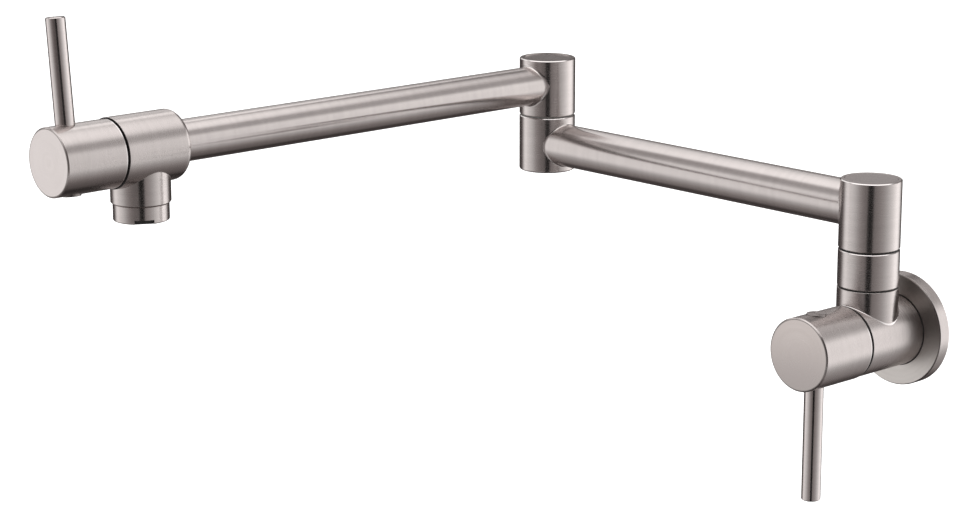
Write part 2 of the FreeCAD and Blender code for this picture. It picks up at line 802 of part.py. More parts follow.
def make_cartridge(valve):
    """Fixed half of a quarter-turn cartridge: seal, cup, ring, fixed disc and nut."""
    seat = valve.seat
    foot = seat + S.seal_thickness
    outer = S.cartridge_diameter / 2
    cavity = outer - S.cartridge_wall
    cavity_top = foot + S.cartridge_cavity_length
    collar_low = cavity_top + S.cartridge_shoulder
    collar_high = collar_low + S.cartridge_collar_width
    neck = S.cartridge_neck_diameter / 2
    neck_top = valve.barrel_front + S.cartridge_neck_stand
    stem_bore = stem_radius + S.running_fit
    collar = chamber_radius - S.fixed_fit
    ring_station = collar_low + S.cartridge_collar_width / 2
    groove = S.ring_groove_width / 2
    ring_floor = collar - S.ring_section

    seal = new_body(f"{valve.name}_cartridge_seal")
    revolve(seal, ring_corners(S.seat_opening / 2, S.seal_diameter / 2, seat, foot))

    cup = new_body(f"{valve.name}_cartridge_cup")
    revolve(cup, [
        (cavity, foot), (outer, foot), (outer, collar_low), (collar, collar_low),
        (collar, ring_station - groove), (ring_floor, ring_station - groove),
        (ring_floor, ring_station + groove), (collar, ring_station + groove),
        (collar, collar_high), (neck, collar_high), (neck, neck_top), (stem_bore, neck_top),
        (stem_bore, cavity_top), (cavity, cavity_top),
    ])
    window_low = foot + S.disc_thickness * 2
    half = S.window_width / 2
    square_hole(
        cup, "XZ_Plane", (-half, window_low), (half, window_low + S.tang_rise),
        -outer, S.cartridge_diameter,
    )

    disc = new_body(f"{valve.name}_fixed_disc")
    revolve(disc, disc_corners(cavity - S.fixed_fit, foot, foot + S.disc_thickness))
    for side in (-1, 1):
        round_hole(
            disc, "XY_Plane", (S.disc_hole_offset * side, ZERO), S.disc_hole_diameter / 2,
            foot, S.disc_thickness,
        )

    nut = new_body(f"{valve.name}_cartridge_nut")
    nut_top = valve.barrel_front - S.nut_set_back
    revolve(nut, ring_corners(neck + S.running_fit, collar, collar_high, nut_top))
    half_slot = S.nut_slot_width / 2
    square_hole(
        nut, "XY_Plane", (-collar, -half_slot), (collar, half_slot),
        nut_top - S.nut_slot_depth, S.nut_slot_depth,
    )
    for body in (seal, cup, disc, nut):
        valve.place_on_axis(body)
    rubber_rings(
        f"{valve.name}_cartridge_ring", S.ring_section,
        [(collar - S.ring_section / 2, ring_station)], valve.place_on_axis,
    )


def make_stem(valve):
    """Turning half of the cartridge: moving disc, stem and the stem's ring."""
    foot = valve.seat + S.seal_thickness
    cavity = S.cartridge_diameter / 2 - S.cartridge_wall - S.running_fit
    disc_low = foot + S.disc_thickness + S.film_gap
    disc_high = disc_low + S.disc_thickness
    half_tang = S.tang_width / 2
    bridge_low = disc_high + S.tang_rise
    bridge_high = foot + S.cartridge_cavity_length - S.end_gap
    stem_end = valve.lever_station + S.stem_past_lever
    ring_station = bridge_high + S.end_gap + S.cartridge_shoulder / 2
    groove = S.ring_groove_width / 2
    ring_floor = stem_radius - S.stem_ring_section

    disc = new_body(f"{valve.name}_moving_disc")
    revolve(disc, disc_corners(cavity, disc_low, disc_high))
    for side in (-1, 1):
        round_hole(
            disc, "XY_Plane", (ZERO, S.disc_hole_offset * side), S.disc_hole_diameter / 2,
            disc_low, S.disc_thickness,
        )
    square_hole(
        disc, "XY_Plane", (-cavity, -half_tang), (cavity, half_tang),
        disc_high - S.tang_depth, S.tang_depth,
    )

    stem = new_body(f"{valve.name}_stem")
    revolve(stem, [
        (ZERO, bridge_low), (cavity, bridge_low), (cavity, bridge_high),
        (stem_radius, bridge_high), (stem_radius, ring_station - groove),
        (ring_floor, ring_station - groove), (ring_floor, ring_station + groove),
        (stem_radius, ring_station + groove), (stem_radius, stem_end), (ZERO, stem_end),
    ])
    tang_half = half_tang - S.fixed_fit
    tang_reach = cavity - S.tang_end_gap
    extrude(
        stem, "Pad", "XY_Plane", disc_high - S.tang_depth, S.tang_depth + S.tang_rise,
        lambda sketch: add_outline(sketch, [
            (-tang_reach, -tang_half), (tang_reach, -tang_half),
            (tang_reach, tang_half), (-tang_reach, tang_half),
        ]),
    )
    flat_half = S.stem_flat_length / 2
    square_hole(
        stem, "XZ_Plane", (-stem_radius, valve.lever_station - flat_half),
        (stem_radius, valve.lever_station + flat_half),
        stem_radius - S.stem_flat_depth, S.stem_flat_depth,
    )
    for body in (disc, stem):
        valve.place_with_handle(body)
    rubber_rings(
        f"{valve.name}_stem_ring", S.stem_ring_section,
        [(stem_radius - S.stem_ring_section / 2, ring_station)], valve.place_with_handle,
    )


def make_handle(valve):
    """Round handle hub with its lever, grub screw and trim plug."""
    outer = valve.handle_radius
    rear = valve.handle_rear
    face = valve.handle_face
    station = valve.lever_station
    bore = stem_radius + S.fixed_fit
    bore_end = station + S.stem_past_lever + S.end_gap
    cavity = S.handle_cavity_diameter / 2
    cavity_end = rear + S.handle_cavity_depth
    hub = new_body(f"{valve.name}_handle_hub")
    revolve(hub, [
        (cavity, rear), (outer - S.barrel_bevel, rear), (outer, rear + S.barrel_bevel),
        (outer, face - S.handle_bevel), (outer - S.handle_bevel, face), (ZERO, face),
        (ZERO, bore_end), (bore, bore_end), (bore, cavity_end), (cavity, cavity_end),
    ])
    seat = outer - S.lever_seat_depth
    thread_end = seat - S.lever_thread_length
    round_hole(
        hub, "XZ_Plane", (ZERO, station), S.lever_diameter / 2 + S.fixed_fit,
        -outer, S.lever_seat_depth,
    )
    round_hole(
        hub, "XZ_Plane", (ZERO, station), S.lever_thread_diameter / 2 + S.fixed_fit,
        -outer, outer - thread_end + S.end_gap,
    )
    round_hole(
        hub, "XZ_Plane", (ZERO, station), S.grub_diameter / 2 + S.fixed_fit, ZERO, outer
    )
    round_hole(
        hub, "XZ_Plane", (ZERO, station), S.plug_diameter / 2 + S.fixed_fit,
        outer - S.plug_depth, S.plug_depth,
    )
    valve.place_with_handle(hub)

    lever = new_body(f"{valve.name}_lever")
    tip = outer + valve.lever_length
    rod = S.lever_diameter / 2
    thread = S.lever_thread_diameter / 2
    revolve(lever, [
        (ZERO, thread_end), (thread, thread_end), (thread, seat), (rod, seat),
        (rod, tip - S.lever_bevel), (rod - S.lever_bevel, tip), (ZERO, tip),
    ])
    valve.place_across(lever, True)

    grub = new_body(f"{valve.name}_grub_screw")
    grub_foot = stem_radius - S.stem_flat_depth
    grub_top = grub_foot + S.grub_length
    revolve(grub, disc_corners(S.grub_diameter / 2, grub_foot, grub_top))
    half = S.grub_socket / 2
    square_hole(
        grub, "XY_Plane", (-half, -half), (half, half), grub_top - S.grub_socket, S.grub_socket
    )
    valve.place_across(grub, False)

    plug = new_body(f"{valve.name}_screw_plug")
    revolve(plug, disc_corners(S.plug_diameter / 2, outer - S.plug_depth, outer + S.plug_stand))
    valve.place_across(plug, False)


def make_all():
    """Make every piece, from the wall to the outlet handle."""
    make_wall_flange()
    make_valve_body()
    make_swivel_collar()
    column = Swivel(
        "column", ZERO, S.neck_top, collar_top, lower_tube_height,
        lower_tube_height + S.column_tube_to_top, S.column_cap_inset,
    )
    elbow = Swivel(
        "elbow", -S.arm_length, elbow_socket_top, elbow_socket_top,
        upper_tube_height, upper_tube_height + S.elbow_tube_to_top, S.elbow_cap_inset,
    )
    column.make_head("column_head", "YZ_Plane")
    elbow.make_head("elbow_upper_hub", "XZ_Plane")
    for swivel in (column, elbow):
        swivel.make_post()
        swivel.make_seals()
        swivel.make_clip()
        swivel.make_cap()
    make_lower_arm_tube()
    make_elbow_lower_hub()
    make_upper_arm_tube()
    make_outlet_body()
    aerator = Aerator()
    aerator.make_shell()
    aerator.make_insert()
    aerator.make_washer()
    for valve in (wall_valve, outlet_valve):
        make_cartridge(valve)
        make_stem(valve)
        make_handle(valve)


def check_and_export():
    """Recompute, stop on any failed object, and write one file per piece."""
    doc.recompute()
    for item in doc.Objects:
        if "Invalid" in item.State or "Error" in item.State:
            raise RuntimeError(f"{item.Label} failed: {item.State}")
    pieces = [item for item in doc.Objects if item.TypeId in ("PartDesign::Body", "Part::Compound")]
    os.makedirs("parts", exist_ok=True)
    for piece in pieces:
        shape = piece.Shape
        if shape.isNull() or not shape.isValid() or not shape.Solids:
            raise RuntimeError(f"{piece.Label} has no valid solid")
        shape.exportStep(f"parts/{piece.Label}.step")
        print(f"{piece.Label}: {len(shape.Solids)} solid(s), {shape.Volume:.1f} mm3")


make_all()
check_and_export()
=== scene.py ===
"""Wall mounted pot filler in brushed nickel: the dressed pieces, the studio light and the camera.

Lengths in the classes are millimetres, as on a maker's drawing, and become metres in each mesh.
Each turned piece is built about its own Z axis and then put in place, so that its brushing runs
round that axis.
"""
from __future__ import annotations

import logging
import math
from dataclasses import dataclass
from enum import Enum
from typing import Callable, Optional, Sequence, Union

import bmesh
import bpy
from mathutils import Matrix, Vector

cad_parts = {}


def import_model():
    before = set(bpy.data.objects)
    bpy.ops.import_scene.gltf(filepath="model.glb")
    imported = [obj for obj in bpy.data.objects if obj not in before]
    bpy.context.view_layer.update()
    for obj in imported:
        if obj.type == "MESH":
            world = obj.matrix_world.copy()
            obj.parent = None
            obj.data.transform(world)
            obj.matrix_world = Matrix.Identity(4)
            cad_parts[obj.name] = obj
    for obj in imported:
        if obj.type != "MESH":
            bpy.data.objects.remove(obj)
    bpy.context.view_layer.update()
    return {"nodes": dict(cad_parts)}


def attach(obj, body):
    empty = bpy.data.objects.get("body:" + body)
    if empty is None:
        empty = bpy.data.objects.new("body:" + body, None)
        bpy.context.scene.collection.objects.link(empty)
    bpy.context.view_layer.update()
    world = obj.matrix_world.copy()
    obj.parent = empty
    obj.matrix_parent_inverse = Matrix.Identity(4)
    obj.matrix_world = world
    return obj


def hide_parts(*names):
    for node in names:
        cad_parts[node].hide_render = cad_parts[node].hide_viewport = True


LOG = logging.getLogger("pot_filler")
MM = 0.001
COLUMNS = 144
SHARP_ANGLE = math.radians(38)

# Where the upright axes, the two tubes and the outlet valve lie, in millimetres
WALL_GAP = 31.1
ARM_LENGTH = 240.0
LOWER_TUBE_HEIGHT = 69.1
UPPER_TUBE_HEIGHT = 103.4
OUTLET_HEIGHT = 102.7
OUTLET_REAR = 264.8
PORT_REACH = 285.4
UPRIGHT_RADIUS = 16.0

# How far a band reaches past a flat face, clears a round wall and goes in from an edge
SKIM = 0.05
CLEAR = 0.02
EDGE_REACH = 1.0

# Radii that turned corners are rounded by, in millimetres
CRISP = 0.1
FINE = 0.15
SHARP = 0.2
SOFT = 0.25

Lift = Callable[[float], float]
Measure = Union[float, Callable[[float], float]]
Span = tuple[float, float]
Pairs = tuple[Span, ...]


class Body(Enum):
    """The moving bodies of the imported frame."""

    WALL = "wall_body"
    WALL_HANDLE = "wall_handle"
    LOWER_ARM = "lower_arm"
    UPPER_ARM = "upper_arm"
    OUTLET_HANDLE = "outlet_handle"


class Facing(Enum):
    """Where a piece's own Z axis points once it is in place."""

    UP = Matrix.Identity(4)
    DOWN = Matrix.Rotation(math.pi, 4, "X")
    OUTWARD = Matrix.Rotation(math.pi / 2, 4, "X")
    ALONG_WALL = Matrix.Rotation(-math.pi / 2, 4, "Y")


def placed(facing: Facing, x: float = 0.0, y: float = 0.0, z: float = 0.0, turn: float = 0.0,
           lean: float = 0.0) -> Matrix:
    """Give the matrix that puts a piece in place.

    Args:
        facing: where the piece's own Z axis points.
        x: where its origin lies, in millimetres.
        y: the same along Y.
        z: the same along Z.
        turn: degrees about its own Z axis, before it is faced.
        lean: degrees about the row's Y axis, after it is faced.

    Returns:
        The matrix in metres.
    """
    return (
        Matrix.Translation(Vector((x, y, z)) * MM)
        @ Matrix.Rotation(math.radians(lean), 4, "Y")
        @ facing.value
        @ Matrix.Rotation(math.radians(turn), 4, "Z")
    )


# ---- shader maths ----

class Signal:
    """A number that runs through a material's nodes, with the maths that materials need."""

    def __init__(self, graph: Graph, socket: bpy.types.NodeSocket) -> None:
        """Wrap an output socket of the graph's tree."""
        self.graph = graph
        self.socket = socket

    def _math(self, operation: str, first: Value, second: Value = 0.0) -> Signal:
        """Add a Math node and give its result."""
        node = self.graph.node("ShaderNodeMath", {"operation": operation}, {0: first, 1: second})
        return Signal(self.graph, node.outputs[0])

    def __add__(self, other: Value) -> Signal:
        """Add."""
        return self._math("ADD", self, other)

    def __radd__(self, other: float) -> Signal:
        """Add to a number."""
        return self._math("ADD", other, self)

    def __sub__(self, other: Value) -> Signal:
        """Take away."""
        return self._math("SUBTRACT", self, other)

    def __rsub__(self, other: float) -> Signal:
        """Take away from a number."""
        return self._math("SUBTRACT", other, self)

    def __mul__(self, other: Value) -> Signal:
        """Multiply."""
        return self._math("MULTIPLY", self, other)

    def __rmul__(self, other: float) -> Signal:
        """Multiply a number."""
        return self._math("MULTIPLY", other, self)

    def __truediv__(self, other: Value) -> Signal:
        """Divide."""
        return self._math("DIVIDE", self, other)

    def __pow__(self, other: Value) -> Signal:
        """Raise to a power."""
        return self._math("POWER", self, other)

    def arc_sine(self) -> Signal:
        """Give the angle whose sine this is."""
        return self._math("ARCSINE", self)

    def angle_over(self, other: Signal) -> Signal:
        """Give the angle of the point (other, this)."""
        return self._math("ARCTAN2", self, other)

    def between(self, start: float, end: float) -> Signal:
        """Ease from 0 at start to 1 at end.

        Args:
            start: where the result leaves 0.
            end: where it reaches 1. It may lie below start.

        Returns:
            The eased signal.
        """
        node = self.graph.node(
            "ShaderNodeMapRange", {"interpolation_type": "SMOOTHSTEP"},
            {"Value": self, "From Min": start, "From Max": end},
        )
        return Signal(self.graph, node.outputs["Result"])

    def hill(self, centre: float, reach: float) -> Signal:
        """Rise from 0 to 1 at centre and fall back to 0, within reach on both sides."""
        return self.between(centre - reach, centre) * (1 - self.between(centre, centre + reach))


Value = Union[float, Signal]


class Graph:
    """Adds nodes to one material's or world's tree."""

    def __init__(self, owner: bpy.types.ID) -> None:
        """Start with an empty tree.

        Args:
            owner: the material or world.
        """
        owner.use_nodes = True
        self.tree = owner.node_tree
        self.tree.nodes.clear()

    def node(self, kind: str, settings: dict, sockets: dict) -> bpy.types.Node:
        """Add a node.

        Args:
            kind: the node's type.
            settings: its properties, set first. A ramp's stops are a list of (place, colour).
            sockets: values or links of its inputs, by name or index.

        Returns:
            The node.
        """
        made = self.tree.nodes.new(kind)
        for name, setting in settings.items():
            if name == "stops":
                ramp = made.color_ramp
                while len(ramp.elements) > 1:
                    ramp.elements.remove(ramp.elements[-1])
                ramp.elements[0].position = setting[0][0]
                ramp.elements[0].color = (*setting[0][1], 1.0)
                for place, colour in setting[1:]:
                    ramp.elements.new(place).color = (*colour, 1.0)
            else:
                setattr(made, name, setting)
        for key, given in sockets.items():
            socket = made.inputs[key]
            if isinstance(given, Signal):
                self.tree.links.new(given.socket, socket)
            elif isinstance(given, bpy.types.NodeSocket):
                self.tree.links.new(given, socket)
            else:
                socket.default_value = given
        return made

    def signal(self, node: bpy.types.Node, output: Union[str, int] = 0) -> Signal:
        """Wrap one output of a node."""
        return Signal(self, node.outputs[output])

    def coordinates(self, kind: str) -> list[Signal]:
        """Give x, y and z.

        Args:
            kind: "Object" for a place in the piece's own frame, "Generated" for a direction.

        Returns:
            The three signals.
        """
        place = self.node("ShaderNodeTexCoord", {}, {})
        parts = self.node("ShaderNodeSeparateXYZ", {}, {"Vector": place.outputs[kind]})
        return [self.signal(parts, axis) for axis in "XYZ"]

    def noise(self, place: Sequence[Value], detail: float = 2.0,
              roughness: float = 0.5) -> Signal:
        """Give soft noise from 0 to 1 with features about one unit across.

        Args:
            place: x, y and z.
            detail: how many finer layers are added.
            roughness: how strong the finer layers are.

        Returns:
            The noise.
        """
        spot = self.node("ShaderNodeCombineXYZ", {}, dict(zip("XYZ", place)))
        noise = self.node(
            "ShaderNodeTexNoise", {},
            {"Vector": spot.outputs[0], "Scale": 1.0, "Detail": detail, "Roughness": roughness},
        )
        return self.signal(noise, 0)

    def blend(self, amount: Value, first: Paint, second: Paint) -> bpy.types.NodeSocket:
        """Mix two colours.

        Args:
            amount: the share of the second.
            first: a fixed colour or a colour socket.
            second: the same.

        Returns:
            The mixed colour's socket.
        """
        first, second = (
            paint if isinstance(paint, bpy.types.NodeSocket) else (*paint, 1.0)
            for paint in (first, second)
        )
        mixed = self.node(
            "ShaderNodeMix", {"data_type": "RGBA"}, {0: amount, 6: first, 7: second}
        )
        return mixed.outputs[2]

    def bump(self, height: Signal, depth: float) -> bpy.types.NodeSocket:
        """Turn a height from 0 to 1 into relief of a depth in millimetres."""
        sockets = {"Strength": 1.0, "Distance": depth * MM, "Height": height}
        return self.node("ShaderNodeBump", {}, sockets).outputs[0]

    def cover(self, sockets: dict) -> None:
        """Lead a surface with these values or links of its inputs to the material's output."""
        surface = self.node("ShaderNodeBsdfPrincipled", {}, sockets)
        self.node("ShaderNodeOutputMaterial", {}, {"Surface": surface.outputs[0]})


Colour = tuple[float, float, float]
Paint = Union[Colour, bpy.types.NodeSocket]


# ---- finishes ----

@dataclass(frozen=True)
class PaintedShade:
    """Painted shade: a slow change to a darker tint along a piece's own Y, in millimetres."""

    tint: Colour
    start: float
    end: float


@dataclass(frozen=True)
class Finish:
    """A finish, and the slot that its pieces have in the exported part."""

    name: str
    slot: str

    def material(self) -> bpy.types.Material:
        """Build the finish once.

        Returns:
            The material, which is the same at every call.
        """
        made = bpy.data.materials.get(self.name)
        if not made:
            made = bpy.data.materials.new(self.name)
            self.draw(Graph(made))
        return made

    def draw(self, graph: Graph) -> None:
        """Add the finish's nodes.

        Args:
            graph: the material's tree.
        """
        raise NotImplementedError


@dataclass(frozen=True)
class NickelFinish(Finish):
    """Plated nickel with fine brushing round the piece's own axis."""

    slot: str = "brushed_nickel"
    tint: Colour = (0.70, 0.645, 0.63)
    worn_tint: Colour = (0.65, 0.60, 0.585)
    roughness: float = 0.24
    roughness_change: float = 0.06
    anisotropy: float = 0.0
    groove_depth: float = 0.0012
    grooves_per_mm: float = 2.6
    bands_per_mm: float = 0.45
    mark_length: float = 9.0
    cloud_size: float = 14.0
    # painted shade: the tint darkens towards one side of the face
    painted_shade: Optional[PaintedShade] = None

    def draw(self, graph: Graph) -> None:
        """Add grooves, broader bands and soft clouds, and the painted shade where there is one.

        Args:
            graph: the material's tree.
        """
        x, y, z = graph.coordinates("Object")
        reach = (x * x + y * y) ** 0.5
        along = (z + reach) / MM
        round_x, round_y = x / (self.mark_length * MM), y / (self.mark_length * MM)
        grooves = graph.noise((round_x, round_y, along * self.grooves_per_mm), roughness=0.6)
        bands = graph.noise(
            (round_x * 0.4, round_y * 0.4, along * self.bands_per_mm),
            detail=3.0, roughness=0.55,
        )
        clouds = graph.noise([axis / (self.cloud_size * MM) for axis in (x, y, z)], detail=3.0)
        shade = bands.between(0.3, 0.7) * 0.6 + clouds.between(0.3, 0.7) * 0.4
        colour = graph.blend(shade, self.worn_tint, self.tint)
        # Painted shade: the tint darkens along the piece's own Y
        if self.painted_shade:
            shade_share = y.between(self.painted_shade.start * MM, self.painted_shade.end * MM)
            colour = graph.blend(shade_share, colour, self.painted_shade.tint)
        graph.cover({
            "Base Color": colour,
            "Metallic": 1.0,
            "Roughness": (
                self.roughness
                + (grooves - 0.5) * self.roughness_change
                + (clouds - 0.5) * (self.roughness_change * 0.6)
            ),
            "Anisotropic": self.anisotropy,
            "Anisotropic Rotation": 0.25,
            "Normal": graph.bump(grooves, self.groove_depth),
        })


@dataclass(frozen=True)
class InnerFinish(Finish):
    """A finish of the hidden pieces (brass, steel, rubber, foam, plastic or ceramic) and of the
    painted shade in gaps.
    """

    light: Colour
    dark: Colour
    roughness: float
    metallic: float = 0.0
    grain: float = 1.2
    relief: float = 0.01
    cloud_size: float = 8.0

    def draw(self, graph: Graph) -> None:
        """Add fine specks over soft clouds.

        Args:
            graph: the material's tree.
        """
        place = graph.coordinates("Object")
        grains = [axis / (self.grain * MM) for axis in place]
        specks = graph.noise(grains, detail=4.0, roughness=0.6)
        clouds = graph.noise([axis / (self.cloud_size * MM) for axis in place])
        shade = specks.between(0.25, 0.75) * 0.5 + clouds.between(0.3, 0.7) * 0.5
        graph.cover({
            "Base Color": graph.blend(shade, self.dark, self.light),
            "Metallic": self.metallic,
            "Roughness": self.roughness + (specks - 0.5) * 0.15,
            "Normal": graph.bump(specks, self.relief),
        })


BRUSHED = NickelFinish(
    "brushed_nickel_finish", roughness=0.26, roughness_change=0.09, anisotropy=0.80,
    groove_depth=0.0030,
)
TUBE = NickelFinish(
    "tube_nickel_finish", roughness=0.22, roughness_change=0.07, anisotropy=0.60,
    groove_depth=0.0022,
)
POLISHED = NickelFinish(
    "polished_nickel_finish", "polished_nickel", (0.71, 0.655, 0.64), (0.68, 0.625, 0.61),
    roughness=0.22, anisotropy=0.8, groove_depth=0.0016,
)
SATIN_FACE = NickelFinish("satin_face_finish", worn_tint=(0.66, 0.605, 0.59))
# Painted shade: a darker copy of the nickel for the wall handle's face, darker still towards its
# bottom
WALL_HANDLE_FACE_SHADED = NickelFinish(
    "wall_handle_face_shaded_finish", tint=(0.69, 0.625, 0.60), worn_tint=(0.65, 0.585, 0.56),
    roughness=0.26, groove_depth=0.0014, painted_shade=PaintedShade((0.48, 0.435, 0.42), 18.0, -18.0),
)
# Painted light: a lighter copy of the nickel for the outlet handle's face
OUTLET_HANDLE_FACE_LIT = NickelFinish(
    "outlet_handle_face_lit_finish", tint=(0.74, 0.685, 0.67), worn_tint=(0.70, 0.645, 0.63)
)
# Painted shade: a darker copy of the nickel for the elbow cap's face
ELBOW_CAP_FACE_SHADED = NickelFinish(
    "elbow_cap_face_shaded_finish", tint=(0.56, 0.52, 0.505), worn_tint=(0.52, 0.48, 0.465)
)
# Painted light and shade: a lighter copy of the nickel for the flange's front face, darkened
# towards its top
FLANGE_FACE_LIT_AND_SHADED = NickelFinish(
    "flange_face_lit_and_shaded_finish", tint=(0.80, 0.76, 0.73), worn_tint=(0.74, 0.70, 0.67),
    roughness=0.42, roughness_change=0.10, anisotropy=0.45, groove_depth=0.0040,
    painted_shade=PaintedShade((0.34, 0.315, 0.30), -22.0, 14.0),
)
# Painted highlight: a much lighter copy of the nickel for bevels, edge bands and the neck's weld
# ring
PAINTED_HIGHLIGHT = NickelFinish(
    "painted_highlight_finish", tint=(0.93, 0.88, 0.87), worn_tint=(0.86, 0.81, 0.80),
    roughness=0.15, roughness_change=0.08, anisotropy=0.2, groove_depth=0.0020,
)
# Painted shade: a dark copy of the nickel for the flange's bevel, the handles' face rings and the
# plugs' sides
PAINTED_SHADE_EDGE = NickelFinish(
    "painted_shade_edge_finish", tint=(0.34, 0.31, 0.30), worn_tint=(0.28, 0.26, 0.25),
    roughness=0.34, roughness_change=0.08, anisotropy=0.2, groove_depth=0.0020,
)
# Painted highlight: a lighter copy of the nickel for the braze rings
BRAZE_HIGHLIGHT = NickelFinish(
    "braze_highlight_finish", tint=(0.86, 0.81, 0.80), worn_tint=(0.74, 0.69, 0.67),
    roughness_change=0.10, anisotropy=0.2, groove_depth=0.0040,
)
BRASS = InnerFinish(
    "brass_finish", "brass", (0.76, 0.55, 0.26), (0.62, 0.43, 0.19), 0.32, 1.0
)
SPRING_STEEL = InnerFinish(
    "spring_steel_finish", "spring_steel", (0.56, 0.57, 0.58), (0.42, 0.43, 0.45), 0.28, 1.0
)
RUBBER = InnerFinish(
    "rubber_finish", "rubber_seal", (0.028, 0.028, 0.03), (0.015, 0.015, 0.016), 0.62
)
FOAM = InnerFinish(
    "foam_finish", "foam_gasket", (0.10, 0.10, 0.105), (0.04, 0.04, 0.042), 0.9,
    grain=0.7, relief=0.12,
)
SLIP_PLASTIC = InnerFinish(
    "slip_plastic_finish", "slip_plastic", (0.018, 0.017, 0.016), (0.008, 0.008, 0.008), 0.6
)
CERAMIC = InnerFinish(
    "ceramic_finish", "ceramic", (0.82, 0.81, 0.78), (0.74, 0.73, 0.70), 0.22
)
AERATOR_PLASTIC = InnerFinish(
    "aerator_plastic_finish", "aerator_plastic", (0.30, 0.30, 0.31), (0.22, 0.22, 0.23), 0.45
)
# Painted shade in the elbow's seams, lighter than in the other seams
ELBOW_SEAM_SHADE = InnerFinish(
    "elbow_seam_shade_finish", "brushed_nickel", (0.24, 0.22, 0.21), (0.17, 0.155, 0.15), 0.6
)
# A lighter copy of the slip plastic for the elbow's washer: painted light in the elbow's seam
ELBOW_WASHER_LIT = InnerFinish(
    "elbow_washer_lit_finish", "slip_plastic", (0.16, 0.15, 0.145), (0.10, 0.095, 0.09), 0.6
)
# Painted shade: near black, on the faces in seams, creases and the aerator's notches
SEAM_SHADE = InnerFinish(
    "seam_shade_finish", "brushed_nickel", (0.02, 0.018, 0.017), (0.008, 0.007, 0.007), 0.7
)


# ---- shapes ----

@dataclass(frozen=True)
class Corner:
    """A corner of a turned outline, with the radius that rounds it."""

    radius: float
    height: float
    rounding: float = 0.0
    steps: int = 4

    def point(self) -> Vector:
        """Give the corner as a flat point."""
        return Vector((self.radius, self.height))


@dataclass(frozen=True)
class Ring:
    """One ring of points round a piece's axis. A measure may change with the angle."""

    radius: Measure
    height: Measure

    def points(self, columns: int) -> list[Vector]:
        """Give the ring's points.

        Args:
            columns: how many points go round the axis.

        Returns:
            The points, or one point where the ring lies on the axis.
        """
        if self.radius == 0.0:
            return [Vector((0.0, 0.0, at(self.height, 0.0)))]
        made = []
        for column in range(columns):
            angle = math.tau * column / columns
            radius = at(self.radius, angle)
            made.append(Vector((
                radius * math.cos(angle), radius * math.sin(angle), at(self.height, angle)
            )))
        return made


def at(measure: Measure, angle: float) -> float:
    """Give a measure at an angle."""
    return measure(angle) if callable(measure) else measure


def rounded(corners: Sequence[Corner], closed: bool) -> list[Ring]:
    """Round the corners of an outline with small arcs.

    Args:
        corners: the outline, as (radius, height) corners in order.
        closed: whether the last corner joins the first.

    Returns:
        The rings of the turned surface.
    """
    rings = []
    count = len(corners)
    for index, corner in enumerate(corners):
        ends = not closed and index in (0, count - 1)
        if corner.rounding <= 0.0 or ends:
            rings.append(Ring(corner.radius, corner.height))
            continue
        here = corner.point()
        back = (corners[index - 1].point() - here).normalized()
        ahead = (corners[(index + 1) % count].point() - here).normalized()
        half = back.angle(ahead) / 2
        start = here + back * (corner.rounding / math.tan(half))
        end = here + ahead * (corner.rounding / math.tan(half))
        centre = here + (back + ahead).normalized() * (corner.rounding / math.sin(half))
        spread = (start - centre).angle_signed(end - centre)
        for step in range(corner.steps + 1):
            arm = (start - centre).copy()
            arm.rotate(Matrix.Rotation(-spread * step / corner.steps, 2))
            rings.append(Ring(centre.x + arm.x, centre.y + arm.y))
    return rings


def edge(radius: float, height: float, bevel: float, low: float = SHARP,
         high: float = SHARP) -> list[Corner]:
    """Give the corners of a bevelled outer edge.

    Args:
        radius: the piece's radius below the edge.
        height: the height of the face above it.
        bevel: the bevel's width.
        low: what rounds its lower corner.
        high: what rounds its upper corner.

    Returns:
        The two corners.
    """
    return [Corner(radius, height - bevel, low), Corner(radius - bevel, height, high)]


def stepped(*measures: float) -> list[Corner]:
    """Give the square corners of a stepped bore or stem.

    Args:
        measures: heights and radii by turns, a height first.

    Returns:
        The corners.
    """
    pairs = list(zip(measures, measures[1:]))
    return [Corner(*(pair if index % 2 else pair[::-1])) for index, pair in enumerate(pairs)]


def skin(name: str, rows: Sequence[Sequence[Vector]], joined: bool) -> bpy.types.Object:
    """Lay a skin over rows of points and make it one smooth closed piece.

    Args:
        name: the piece's name.
        rows: rows of points round the piece, in millimetres. A row of one point closes an end.
        joined: whether the last row joins the first.

    Returns:
        The piece at the origin.
    """
    shape = bmesh.new()
    laid = [[shape.verts.new(point * MM) for point in row] for row in rows]
    pairs = list(zip(laid, laid[1:]))
    if joined:
        pairs.append((laid[-1], laid[0]))
    for low, high in pairs:
        count = max(len(low), len(high))
        for index in range(count):
            steps = (index, (index + 1) % count)
            round_face = [low[step % len(low)] for step in steps]
            round_face += [high[step % len(high)] for step in reversed(steps)]
            shape.faces.new(list(dict.fromkeys(round_face)))
    bmesh.ops.recalc_face_normals(shape, faces=shape.faces)
    mesh = bpy.data.meshes.new(name)
    shape.to_mesh(mesh)
    shape.free()
    mesh.shade_smooth()
    mesh.set_sharp_from_angle(angle=SHARP_ANGLE)
    made = bpy.data.objects.new(name, mesh)
    bpy.context.scene.collection.objects.link(made)
    weighted = made.modifiers.new("even_shading", "WEIGHTED_NORMAL")
    weighted.keep_sharp = True
    return made


def turned(name: str, rings: Sequence[Ring], joined: bool) -> bpy.types.Object:
    """Turn rings into one piece, as on a lathe."""
    return skin(name, [ring.points(COLUMNS) for ring in rings], joined)


def lathe(name: str, corners: Sequence[Corner], closed: bool) -> bpy.types.Object:
    """Turn an outline with its corners rounded into one piece."""
    return turned(name, rounded(corners, closed), closed)


